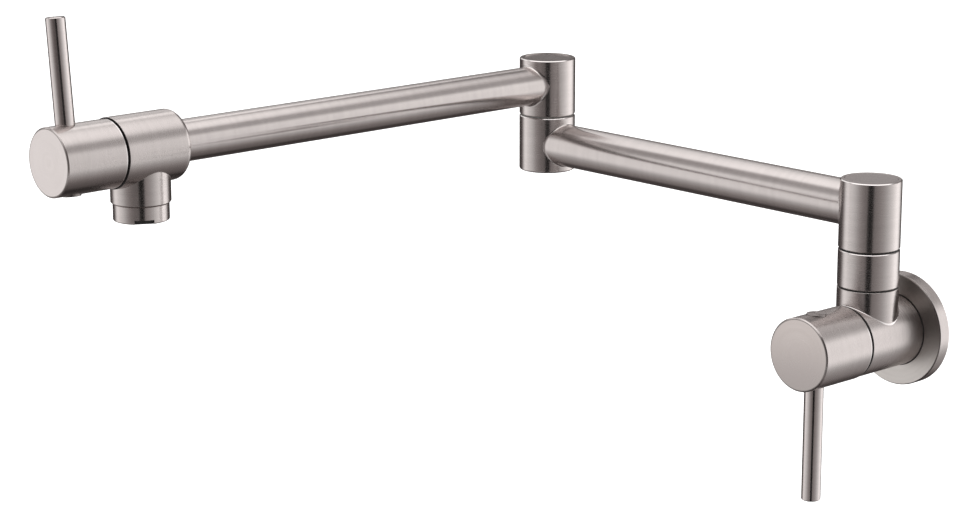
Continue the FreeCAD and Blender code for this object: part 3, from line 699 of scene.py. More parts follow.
@dataclass(frozen=True)
class Saddle:
    """Where a round branch meets a round host square to it, with a small braze or weld ring.

    across is 0 where the host's axis lies along the branch's own Y, and 90 where it is its X.
    A host of no radius is a flat face.
    """

    branch: float
    host: float
    fillet: float
    across: float = 0.0
    unevenness: float = 0.0
    sink: float = 0.5
    steps: int = 6
    waves: Pairs = ((5, 0.7), (11, 2.1), (17, 0.0))

    def surface(self, radius: float, angle: float) -> float:
        """Give the host's distance from its axis at a point of the branch's cross-section."""
        side = radius * math.cos(angle - math.radians(self.across))
        return math.sqrt(max(self.host ** 2 - side ** 2, 0.0))

    def width(self, angle: float) -> float:
        """Give the braze ring's width at an angle."""
        wave = sum(math.sin(count * angle + start) for count, start in self.waves)
        return self.fillet * (1 + self.unevenness * wave / len(self.waves))

    def sweeps(self) -> list[float]:
        """Give the fillet's angles, from the branch's wall at 0 to a quarter turn."""
        return [math.pi / 2 * step / self.steps for step in range(self.steps + 1)]

    def ring(self, sweep: float, lift: Lift, sink: float = 0.0) -> Ring:
        """Give one ring of the braze, from the branch's wall at 0 to the host at a quarter turn.

        Args:
            sweep: how far round the fillet, in radians.
            lift: turns a distance from the host's axis into the piece's own height.
            sink: how far the ring goes under the host's surface.

        Returns:
            The ring.
        """
        def radius(angle: float) -> float:
            """Give the ring's radius at an angle."""
            return self.branch + self.width(angle) * (1 - math.cos(sweep))

        def height(angle: float) -> float:
            """Give the ring's height at an angle."""
            rise = self.width(angle) * (1 - math.sin(sweep))
            return lift(self.surface(radius(angle), angle) + rise - sink)

        return Ring(radius, height)

    def rings(self, lift: Lift = float) -> list[Ring]:
        """Give the braze's rings from under the host's surface to the branch's wall."""
        foot = self.ring(math.pi / 2, lift, self.sink)
        return [foot] + [self.ring(sweep, lift) for sweep in reversed(self.sweeps())]

    def inner_ring(self, radius: float, lift: Lift = float) -> Ring:
        """Give a ring of the branch's bore that ends on the host."""
        return Ring(radius, lambda angle: lift(self.surface(radius, angle) - self.sink))


@dataclass(frozen=True)
class Band:
    """Part of a piece between two heights and two radii that has a finish of its own."""

    low: float
    high: float
    finish: Finish
    inside: float = 0.0
    outside: float = math.inf

    def paint(self, mesh: bpy.types.Mesh) -> None:
        """Give the band its finish.

        Args:
            mesh: the mesh whose polygons get it where their centres lie in the band.
        """
        slot = len(mesh.materials)
        mesh.materials.append(self.finish.material())
        for polygon in mesh.polygons:
            x, y, z = polygon.center / MM
            if self.low < z < self.high and self.inside < math.hypot(x, y) < self.outside:
                polygon.material_index = slot


def flat(height: float, finish: Finish, inside: float = 0.0, outside: float = math.inf) -> Band:
    """Give the band of the flat faces at a height, between two radii."""
    return Band(height - SKIM, height + SKIM, finish, inside, outside)


def edging(radius: float, height: float, width: float, finish: Finish = PAINTED_HIGHLIGHT) -> Band:
    """Give the band of an outer edge below a height, in the painted highlight unless another
    finish is given.
    """
    return Band(height - width, height, finish, radius - EDGE_REACH)


def fit(piece: bpy.types.Object, place: Matrix, body: Body, finish: Finish, *nodes: str,
        bands: Sequence[Band] = ()) -> None:
    """Put a piece in place, on its body, in its finish.

    Args:
        piece: the piece at the origin.
        place: its matrix.
        body: the body that it moves with.
        finish: its finish.
        nodes: the frame's nodes that it stands for.
        bands: parts with a finish of their own.
    """
    piece.matrix_world = place
    piece.data.materials.append(finish.material())
    for band in bands:
        band.paint(piece.data)
    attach(piece, body.value)
    if nodes:
        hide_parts(*nodes)
    LOG.info("%s rides on %s in %s", piece.name, body.value, finish.name)


class SubAssembly:
    """A group of pieces that belong together."""

    def build(self) -> None:
        """Make the pieces and fit them."""
        raise NotImplementedError


# ---- wall side ----

@dataclass(frozen=True)
class WallFlange(SubAssembly):
    """Round cover against the wall, open at the back for its foam gasket."""

    radius: float = 29.9
    thickness: float = 7.5
    front: float = 4.4
    rim: float = 2.5
    bevel: float = 0.5
    inner_round: float = 0.6
    back_round: float = 0.3
    hole: float = 18.95
    ring_section: float = 1.8
    groove_width: float = 2.4
    # width of the painted shade in the crease where the barrel meets the face
    crease_shade: float = 0.45

    def build(self) -> None:
        """Turn the cover and fit it on the barrel."""
        floor = self.thickness - self.front
        inside = self.radius - self.rim
        groove_low = floor + (self.front - self.groove_width) / 2
        groove_high = groove_low + self.groove_width
        groove_floor = self.hole + self.ring_section
        cover = lathe("flange_cover", [
            Corner(self.hole, floor, SHARP),
            Corner(inside, floor, self.inner_round),
            Corner(inside, 0.0, SHARP),
            Corner(self.radius, 0.0, self.back_round),
            *edge(self.radius, self.thickness, self.bevel, SOFT, SOFT),
            # the edge of the painted shade round the hole
            Corner(self.hole + self.crease_shade, self.thickness),
            *stepped(self.thickness, self.hole, groove_high, groove_floor, groove_low,
                     self.hole),
        ], True)
        fit(
            cover, placed(Facing.OUTWARD), Body.WALL, BRUSHED, "wall_flange",
            # Painted shade on the outer bevel, painted light and shade on the front face, painted
            # shade in the crease round the barrel
            bands=[
                edging(self.radius, self.thickness, self.bevel, PAINTED_SHADE_EDGE),
                flat(self.thickness, FLANGE_FACE_LIT_AND_SHADED),
                flat(self.thickness, SEAM_SHADE, self.hole, self.hole + self.crease_shade),
            ],
        )


@dataclass(frozen=True)
class WallValve(SubAssembly):
    """Wall valve: barrel with its inlet thread, and the neck that carries the column."""

    radius: float = 18.9
    front: float = 48.2
    bevel: float = 0.4
    flange_front: float = 7.5
    # width of the painted shade next to the flange and before the seam under the handle
    crease_shade: float = 0.45
    seat: float = 20.1
    seat_opening: float = 5.0
    chamber: float = 12.0
    thread: float = 9.3
    thread_room: float = 14.0
    thread_length: float = 13.4
    thread_relief: float = 1.0
    thread_mouth: float = 1.3
    thread_pitch: float = 1.81
    thread_steps: int = 96
    filter_pocket: float = 8.02
    filter_thickness: float = 2.0
    neck_weld: float = 0.4
    neck_plain: float = 22.2
    neck_top: float = 27.2
    neck_round: float = 0.3
    neck_socket: float = 10.02
    neck_socket_floor: float = 16.2
    neck_bore: float = 6.5
    neck_bore_foot: float = 14.0

    def thread_ring(self, height: float) -> Ring:
        """Give one ring of the inlet's screw thread.

        Args:
            height: its distance from the thread's mouth.

        Returns:
            The ring.
        """
        run_out = min(1.0, (self.thread_length - height) / 2)

        def radius(angle: float) -> float:
            """Give the thread's radius at an angle."""
            phase = (height / self.thread_pitch + angle / math.tau) % 1.0
            tooth = self.thread_relief * run_out * (1 - abs(2 * phase - 1))
            return self.thread + max(tooth, self.thread_mouth - height, 0.0)

        return Ring(radius, height)

    def build(self) -> None:
        """Turn the barrel and the neck and fit them on the wall body."""
        pocket_end = self.thread_room + self.filter_thickness
        outline = rounded([
            Corner(self.thread + self.thread_mouth, 0.0),
            Corner(self.radius, 0.0, SHARP),
            Corner(self.radius, self.flange_front),
            # edges of the painted shade at the flange and before the seam
            Corner(self.radius, self.flange_front + self.crease_shade),
            Corner(self.radius, self.front - self.bevel - self.crease_shade),
            *edge(self.radius, self.front, self.bevel, 0.0, 0.0),
            *stepped(self.front, self.chamber, self.seat, self.seat_opening, pocket_end,
                     self.filter_pocket, self.thread_room, self.thread),
        ], False)
        thread = [
            self.thread_ring(self.thread_length * (1 - step / self.thread_steps))
            for step in range(self.thread_steps + 1)
        ]
        # where the painted shade before the seam begins
        seam = self.front - self.bevel - self.crease_shade
        fit(
            turned("wall_barrel", outline + thread, True), placed(Facing.OUTWARD), Body.WALL,
            BRUSHED, "valve_body",
            # Painted shade, near black, in the seam under the handle and in the crease at the
            # flange
            bands=[
                Band(seam, self.front + SKIM, SEAM_SHADE, self.chamber),
                Band(self.flange_front, self.flange_front + self.crease_shade, SEAM_SHADE,
                     self.chamber),
            ],
        )

        saddle = Saddle(UPRIGHT_RADIUS, self.radius, self.neck_weld, unevenness=0.15)
        neck = turned("wall_neck", saddle.rings() + rounded([
            Corner(UPRIGHT_RADIUS, self.neck_plain),
            Corner(UPRIGHT_RADIUS, self.neck_top, self.neck_round),
            *stepped(self.neck_top, self.neck_socket, self.neck_socket_floor, self.neck_bore,
                     self.neck_bore_foot),
        ], False), True)
        fit(
            neck, placed(Facing.UP, 0.0, -WALL_GAP), Body.WALL, BRUSHED, "valve_body",
            # Painted highlight on the weld ring where the neck meets the barrel
            bands=[Band(0.0, self.neck_top, PAINTED_HIGHLIGHT, UPRIGHT_RADIUS + CLEAR)],
        )


@dataclass(frozen=True)
class Swivel(SubAssembly):
    """Turning head on an upright post, with its round cap: at the column and at the elbow."""

    label: str
    node: str
    cap_node: str
    x: float
    foot: float
    top: float
    tube_height: float
    cap_inset: float
    body: Body
    cap_face: Finish
    # painted shade in the seam at the head's foot
    seam: Finish
    radius: float = UPRIGHT_RADIUS
    bevel: float = 0.5
    land: float = 10.05
    chamber: float = 12.8
    chamber_half: float = 6.0
    clip_room: float = 13.0
    clip_height: float = 2.6
    cap_radius: float = 13.82
    cap_thickness: float = 1.6
    cap_gap: float = 0.06

    def build(self) -> None:
        """Turn the head and its cap."""
        place = placed(Facing.UP, self.x, -WALL_GAP)
        cap_foot = self.top - self.cap_inset - self.cap_thickness
        clip_floor = cap_foot - self.clip_height
        chamber_low = self.tube_height - self.chamber_half
        chamber_top = self.tube_height + self.chamber_half
        head = lathe(f"{self.label}_turning_head", [
            Corner(self.land, self.foot, SHARP),
            Corner(self.radius - self.bevel, self.foot, SHARP),
            Corner(self.radius, self.foot + self.bevel, SHARP),
            *edge(self.radius, self.top, self.bevel, SHARP, FINE),
            Corner(self.cap_radius, self.top, CRISP),
            Corner(self.cap_radius, cap_foot),
            *stepped(cap_foot, self.clip_room, clip_floor, self.land, chamber_top,
                     self.chamber, chamber_low, self.land),
        ], True)
        fit(
            head, place, self.body, BRUSHED, self.node,
            # Painted shade in the seam at the foot and a painted highlight on the top bevel; at
            # the elbow the top face is painted shade
            bands=[
                flat(self.foot, self.seam),
                edging(self.radius, self.top, self.bevel),
                flat(self.top, self.cap_face),
            ],
        )
        high = self.top - self.cap_inset
        side = self.cap_radius - self.cap_gap
        cap = lathe(f"{self.label}_top_cap", [
            Corner(0.0, cap_foot),
            Corner(side, cap_foot, CRISP),
            Corner(side, high, FINE),
            Corner(0.0, high),
        ], False)
        # At the elbow the cap's face is painted shade
        fit(cap, place, self.body, BRUSHED, self.cap_node, bands=[flat(high, self.cap_face)])


@dataclass(frozen=True)
class SwivelCollar(SubAssembly):
    """Fixed ring that the column's head stands on."""

    radius: float = UPRIGHT_RADIUS
    foot: float = 27.9
    top: float = 47.2
    bore: float = 10.05
    bevel: float = 0.5

    def build(self) -> None:
        """Turn the ring."""
        collar = lathe("column_collar", [
            Corner(self.bore, self.foot, SHARP),
            Corner(self.radius - self.bevel, self.foot, SHARP),
            Corner(self.radius, self.foot + self.bevel, SHARP),
            *edge(self.radius, self.top, self.bevel),
            Corner(self.bore, self.top, SHARP),
        ], True)
        fit(
            collar, placed(Facing.UP, 0.0, -WALL_GAP), Body.WALL, BRUSHED, "swivel_collar",
            # Painted highlight on the top bevel, and painted shade on the faces in the seams
            # above and below
            bands=[
                edging(self.radius, self.top, self.bevel),
                flat(self.foot, SEAM_SHADE),
                flat(self.top, SEAM_SHADE),
            ],
        )


# ---- arms ----

@dataclass(frozen=True)
class LowerArm(SubAssembly):
    """Tube from the column to the elbow, and the elbow's closed lower hub."""

    radius: float = 12.0
    wall: float = 1.5
    host: float = UPRIGHT_RADIUS
    braze: float = 0.7
    hub_foot: float = 53.5
    hub_foot_round: float = 1.2
    hub_top: float = 85.3
    hub_bevel: float = 0.5
    socket: float = 10.02
    socket_floor: float = 74.3
    bore: float = 6.5
    bore_floor: float = 57.5

    def build(self) -> None:
        """Make the tube with its two brazed saddles, and turn the hub."""
        saddle = Saddle(self.radius, self.host, self.braze, across=90.0, unevenness=0.18)
        bore = self.radius - self.wall

        def far(rise: float) -> float:
            """Give the height of a point at a distance from the elbow's axis."""
            return ARM_LENGTH - rise

        rings = saddle.rings() + saddle.rings(far)[::-1]
        rings += [saddle.inner_ring(bore, far), saddle.inner_ring(bore)]
        tube = turned("lower_tube", rings, True)
        place = placed(Facing.ALONG_WALL, 0.0, -WALL_GAP, LOWER_TUBE_HEIGHT)
        fit(
            tube, place, Body.LOWER_ARM, TUBE, "lower_arm_tube",
            # Painted highlight on both braze rings
            bands=[Band(0.0, ARM_LENGTH, BRAZE_HIGHLIGHT, self.radius + CLEAR)],
        )

        hub = lathe("elbow_bottom_hub", [
            Corner(0.0, self.hub_foot),
            Corner(self.host, self.hub_foot, self.hub_foot_round, steps=8),
            *edge(self.host, self.hub_top, self.hub_bevel),
            *stepped(self.hub_top, self.socket, self.socket_floor, self.bore, self.bore_floor,
                     0.0),
        ], False)
        fit(
            hub, placed(Facing.UP, -ARM_LENGTH, -WALL_GAP), Body.LOWER_ARM, BRUSHED,
            "elbow_lower_hub",
            # Painted highlight on the top bevel and painted shade on the face in the seam above
            bands=[
                edging(self.host, self.hub_top, self.hub_bevel),
                flat(self.hub_top, ELBOW_SEAM_SHADE),
                flat(self.hub_foot, SATIN_FACE),
            ],
        )


@dataclass(frozen=True)
class UpperArm(SubAssembly):
    """Tube from the elbow to the outlet valve."""

    radius: float = 11.0
    wall: float = 1.5
    braze: float = 1.2
    outlet_braze: float = 0.7
    unevenness: float = 0.18
    socket_start: float = 0.3
    socket_depth: float = 3.0

    def build(self) -> None:
        """Make the tube with its saddle and its braze ring at the outlet."""
        saddle = Saddle(self.radius, UPRIGHT_RADIUS, self.braze, unevenness=self.unevenness)
        joint = Saddle(self.radius, 0.0, self.outlet_braze, unevenness=self.unevenness)
        bore = self.radius - self.wall
        end = OUTLET_REAR + self.socket_depth

        def back(rise: float) -> float:
            """Give the height of a point at a distance behind the outlet valve."""
            return OUTLET_REAR - rise

        rings = saddle.rings() + [joint.ring(sweep, back) for sweep in joint.sweeps()] + [
            Ring(self.radius, OUTLET_REAR + self.socket_start),
            Ring(self.radius, end),
            Ring(bore, end),
            saddle.inner_ring(bore),
        ]
        tube = turned("upper_tube", rings, True)
        place = placed(Facing.OUTWARD, -ARM_LENGTH, -WALL_GAP, UPPER_TUBE_HEIGHT)
        fit(
            tube, place, Body.UPPER_ARM, TUBE, "upper_arm_tube",
            # Painted highlight on both braze rings
            bands=[Band(0.0, OUTLET_REAR, BRAZE_HIGHLIGHT, self.radius + CLEAR)],
        )


# ---- outlet ----

@dataclass(frozen=True)
class OutletValve(SubAssembly):
    """Outlet valve's barrel and the spout below it."""

    radius: float = 18.3
    rear_round: float = 3.5
    front: float = 303.6
    front_round: float = 0.04
    bevel: float = 0.12
    seat: float = 274.4
    seat_opening: float = 5.0
    chamber: float = 12.0
    tube_socket: float = 11.75
    tube_socket_depth: float = 3.0
    spout_radius: float = 15.45
    spout_length: float = 27.4
    spout_plain: float = 22.4
    spout_bevel: float = 0.7
    thread_room: float = 11.77
    thread_depth: float = 10.0
    waterway: float = 7.5
    waterway_start: float = 13.0

    def build(self) -> None:
        """Turn the barrel and the spout."""
        barrel = lathe("outlet_barrel", [
            Corner(self.tube_socket, OUTLET_REAR),
            Corner(self.radius, OUTLET_REAR, self.rear_round, steps=12),
            *edge(self.radius, self.front, self.bevel, self.front_round, self.front_round),
            *stepped(self.front, self.chamber, self.seat, self.seat_opening,
                     OUTLET_REAR + self.tube_socket_depth, self.tube_socket),
        ], True)
        fit(
            barrel, placed(Facing.OUTWARD, -ARM_LENGTH, -WALL_GAP, OUTLET_HEIGHT),
            # Painted shade on the barrel's front face in the seam under the handle
            Body.UPPER_ARM, BRUSHED, "outlet_body", bands=[flat(self.front, SEAM_SHADE)],
        )

        saddle = Saddle(self.spout_radius, self.radius, FINE)
        end = self.spout_length
        rings = saddle.rings() + rounded([
            Corner(self.spout_radius, self.spout_plain),
            *edge(self.spout_radius, end, self.spout_bevel, SOFT, SHARP),
            *stepped(end, self.thread_room, end - self.thread_depth, self.waterway,
                     self.waterway_start),
        ], False)
        spout = turned("outlet_spout", rings, True)
        place = placed(Facing.DOWN, -ARM_LENGTH, -WALL_GAP - PORT_REACH, OUTLET_HEIGHT)
        fit(spout, place, Body.UPPER_ARM, BRUSHED, "outlet_body")


@dataclass(frozen=True)
class Aerator(SubAssembly):
    """Threaded shell under the spout, with two key notches in its lower rim."""

    radius: float = 14.4
    bottom: float = 66.3
    top: float = 75.3
    top_bevel: float = 0.3
    bottom_round: float = 0.8
    round_steps: int = 6
    rim_width: float = 2.4
    thread: float = 11.75
    thread_top: float = 83.8
    bore: float = 10.2
    lip: float = 1.0
    key_angle: float = 61.0
    notch_half: float = 5.0
    notch_height: float = 2.2
    notch_depth: float = 2.0
    notch_steps: int = 12
    notch_corner: float = 0.02
    arc_steps: int = 60

    def plan(self, radius: float, notched: bool) -> list[Vector]:
        """Give the rim seen from below, whole or with its two notches.

        Args:
            radius: the rim's radius.
            notched: whether the notches are cut.

        Returns:
            Points round the rim, the same count either way.
        """
        def rim(angle: float) -> Vector:
            """Give the rim's point at an angle from the first notch."""
            return Vector((radius * math.sin(angle), radius * math.cos(angle), 0.0))

        side = math.asin(self.notch_half / radius)
        shares = [2 * step / self.notch_steps - 1 for step in range(self.notch_steps + 1)]
        if notched:
            floor = self.radius - self.notch_depth
            half = [Vector((self.notch_half * share, floor, 0.0)) for share in shares]
            corner = side
        else:
            half = [rim(side * share) for share in shares]
            corner = side + self.notch_corner / radius
        span = math.pi - 2 * side
        half.append(rim(corner))
        half += [rim(side + span * step / self.arc_steps) for step in range(1, self.arc_steps)]
        half.append(rim(math.pi - corner))
        return half + [Vector((-point.x, -point.y, 0.0)) for point in half]

    def build(self) -> None:
        """Build the shell from the rim up."""
        circle = [point.normalized() for point in self.plan(self.radius, False)]

        def lifted(points: Sequence[Vector], height: float) -> list[Vector]:
            """Give flat points at a height."""
            return [Vector((point.x, point.y, height)) for point in points]

        def hoop(radius: float, height: float) -> list[Vector]:
            """Give a whole circle with the rim's points at a height."""
            return lifted([point * radius for point in circle], height)

        notch_top = self.bottom + self.notch_height
        lip = self.bore - self.lip
        rows = [
            hoop(lip, self.bottom + self.lip),
            hoop(lip, self.bottom),
            hoop(self.radius - self.rim_width, self.bottom),
        ]
        for step in range(self.round_steps + 1):
            sweep = math.pi / 2 * step / self.round_steps
            radius = self.radius - self.bottom_round * (1 - math.sin(sweep))
            height = self.bottom + self.bottom_round * (1 - math.cos(sweep))
            rows.append(lifted(self.plan(radius, True), height))
        rows += [
            lifted(self.plan(self.radius, True), notch_top),
            lifted(self.plan(self.radius, False), notch_top),
            hoop(self.radius, self.top - self.top_bevel),
            hoop(self.radius - self.top_bevel, self.top),
            hoop(self.thread, self.top),
            hoop(self.thread, self.thread_top),
            hoop(self.bore, self.thread_top),
            hoop(self.bore, self.bottom + self.lip),
        ]
        shell = skin("aerator_rim", rows, True)
        place = placed(Facing.UP, -ARM_LENGTH, -WALL_GAP - PORT_REACH, turn=self.key_angle)
        fit(shell, place, Body.UPPER_ARM, BRUSHED, "aerator_shell")
        self.paint_notch_shade(shell.data)

    def paint_notch_shade(self, mesh: bpy.types.Mesh) -> None:
        """Paint the notches' own walls near black, as painted shade in the recess.

        Args:
            mesh: the shell's mesh.
        """
        slot = len(mesh.materials)
        mesh.materials.append(SEAM_SHADE.material())
        for polygon in mesh.polygons:
            x, y, z = polygon.center / MM
            high = SKIM < z - self.bottom < self.notch_height + SKIM
            if high and abs(x) < self.notch_half + CLEAR and abs(y) > self.thread:
                polygon.material_index = slot


# ---- handles ----

@dataclass(frozen=True)
class Handle(SubAssembly):
    """Round handle hub with its lever and the trim plug over its screw.

    Each step of the shadow line is a height above the hub and a change of the lever's radius.
    """

    label: str
    body: Body
    x: float
    y: float
    z: float
    rear: float
    radius: float
    lever_length: float
    set_back: float
    lean: float
    points_up: bool
    face_finish: Finish
    length: float = 35.5
    bevel: float = 0.6
    rear_bevel: float = 0.4
    # width of the painted highlight along the rear edge
    highlight_width: float = 0.5
    # width of the painted shade ring round the face
    face_shade_width: float = 0.45
    lever_radius: float = 5.0
    lever_bevel: float = 0.5
    lever_seat: float = 2.0
    lever_thread: float = 3.0
    lever_thread_length: float = 9.0
    lever_plain: float = 3.0
    shadow_foot: float = 0.5
    shadow_line: Pairs = (
        (0.05, -0.15), (0.20, -0.13), (0.28, -0.05), (0.36, 0.0),
    )
    plug_radius: float = 5.0
    plug_depth: float = 3.0
    plug_stand: float = 0.35
    plug_rim: float = 0.3
    plug_round: float = 0.12
    stem_bore: float = 4.02
    stem_reach: float = 5.3
    cavity: float = 8.0
    cavity_depth: float = 3.0

    def build(self) -> None:
        """Turn the hub, the lever and the plug."""
        face = self.rear + self.length
        station = face - self.set_back
        edge_low = self.rear + self.rear_bevel
        edge_high = edge_low + self.highlight_width
        # where the painted shade ring round the face begins
        line = self.radius - self.bevel - self.face_shade_width
        lean = -self.lean if self.points_up else self.lean
        hub = lathe(f"{self.label}_handle_body", [
            Corner(0.0, station + self.stem_reach),
            *stepped(station + self.stem_reach, self.stem_bore, self.rear + self.cavity_depth,
                     self.cavity, self.rear),
            Corner(self.radius - self.rear_bevel, self.rear, SHARP),
            Corner(self.radius, edge_low),
            Corner(self.radius, edge_high),
            *edge(self.radius, face, self.bevel, SOFT, SOFT),
            Corner(line, face),
            Corner(0.0, face),
        ], False)
        fit(
            hub, placed(Facing.OUTWARD, self.x, self.y, self.z, lean=lean), self.body, BRUSHED,
            f"{self.label}_handle_hub",
            # Painted shade on the rear face in the seam, a painted highlight along the rear edge,
            # the face in its lit or shaded copy, and a painted shade ring round the face
            bands=[
                flat(self.rear, SEAM_SHADE),
                edging(self.radius, edge_high, self.highlight_width),
                flat(face, self.face_finish),
                flat(face, PAINTED_SHADE_EDGE, line, self.radius - self.bevel),
            ],
        )
        towards, away = Facing.DOWN, Facing.UP
        if self.points_up:
            towards, away = away, towards
        across = self.y - station
        self.build_lever(placed(towards, self.x, across, self.z, lean=lean))
        low, high = self.radius - self.plug_depth, self.radius + self.plug_stand
        plug = lathe(f"{self.label}_trim_plug", [
            Corner(0.0, low),
            Corner(self.plug_radius, low),
            Corner(self.plug_radius, high, self.plug_round),
            Corner(0.0, high),
        ], False)
        fit(
            plug, placed(away, self.x, across, self.z, lean=lean), self.body, BRUSHED,
            f"{self.label}_screw_plug",
            # Painted shade on the plug's side, where a highlight would fall
            bands=[Band(0.0, high - CLEAR, PAINTED_SHADE_EDGE, self.plug_radius - self.plug_rim)],
        )

    def build_lever(self, place: Matrix) -> None:
        """Turn the lever, with the fine shadow line where it enters the hub.

        Args:
            place: its matrix.
        """
        tip = self.radius + self.lever_length
        seat = self.radius - self.lever_seat
        foot = seat - self.shadow_foot
        entry = Saddle(self.lever_radius, self.radius, SHARP)

        def above(distance: float, change: float) -> Ring:
            """Give a ring of the shadow line."""
            radius = self.lever_radius
            return Ring(radius + change, lambda angle: entry.surface(radius, angle) + distance)

        rings = rounded([
            Corner(0.0, seat - self.lever_thread_length),
            *stepped(seat - self.lever_thread_length, self.lever_thread, foot,
                     self.lever_radius + self.shadow_line[0][1]),
        ], False)
        rings += [above(*step) for step in self.shadow_line]
        rings += rounded([
            Corner(self.lever_radius, self.radius + self.lever_plain),
            *edge(self.lever_radius, tip, self.lever_bevel),
            Corner(0.0, tip),
        ], False)
        lever = turned(f"{self.label}_lever_rod", rings, False)
        fit(lever, place, self.body, POLISHED, f"{self.label}_lever")


# ---- hidden pieces ----

def of_both_valves(*names: str) -> tuple[str, ...]:
    """Give the pieces that the wall valve and the outlet valve both have."""
    return tuple(f"{valve}_{name}" for name in names for valve in ("wall", "outlet"))


INNER_FINISHES: dict[Finish, tuple[str, ...]] = {
    BRASS: (
        "column_post", "elbow_post", *of_both_valves("cartridge_cup", "cartridge_nut", "stem"),
    ),
    SPRING_STEEL: ("column_clip", "elbow_clip", *of_both_valves("grub_screw")),
    RUBBER: (
        "flange_ring", "column_rings", "elbow_rings", "aerator_washer", "inlet_filter_washer",
        *of_both_valves("cartridge_ring", "stem_ring", "cartridge_seal"),
    ),
    FOAM: ("flange_gasket",),
    SLIP_PLASTIC: ("neck_gasket", "column_slip_washer"),
    ELBOW_WASHER_LIT: ("elbow_slip_washer",),
    CERAMIC: of_both_valves("fixed_disc", "moving_disc"),
    AERATOR_PLASTIC: ("aerator_insert",),
}


def dress_inner_pieces(nodes: dict[str, bpy.types.Object]) -> None:
    """Give the pieces that keep the frame's own shape their finishes.

    Args:
        nodes: the frame's nodes by name.
    """
    for finish, names in INNER_FINISHES.items():
        for name in names:
            mesh = nodes[name].data
            mesh.materials.clear()
            mesh.materials.append(finish.material())
            LOG.info("%s keeps its shape in %s", name, finish.name)


# ---- studio ----

def sheet(name: str, width: float, height: float, sockets: dict) -> bpy.types.Object:
    """Make one flat face of the studio.

    Args:
        name: its name and its material's.
        width: half its size along X, in metres.
        height: half its size along Y, in metres.
        sockets: values of its surface's inputs, by name.

    Returns:
        The face, which lies at the origin.
    """
    mesh = bpy.data.meshes.new(name)
    corners = [(-width, -height, 0), (width, -height, 0), (width, height, 0), (-width, height, 0)]
    mesh.from_pydata(corners, [], [(0, 1, 2, 3)])
    material = bpy.data.materials.new(name)
    Graph(material).cover(sockets)
    mesh.materials.append(material)
    made = bpy.data.objects.new(name, mesh)
    bpy.context.scene.collection.objects.link(made)
    return made


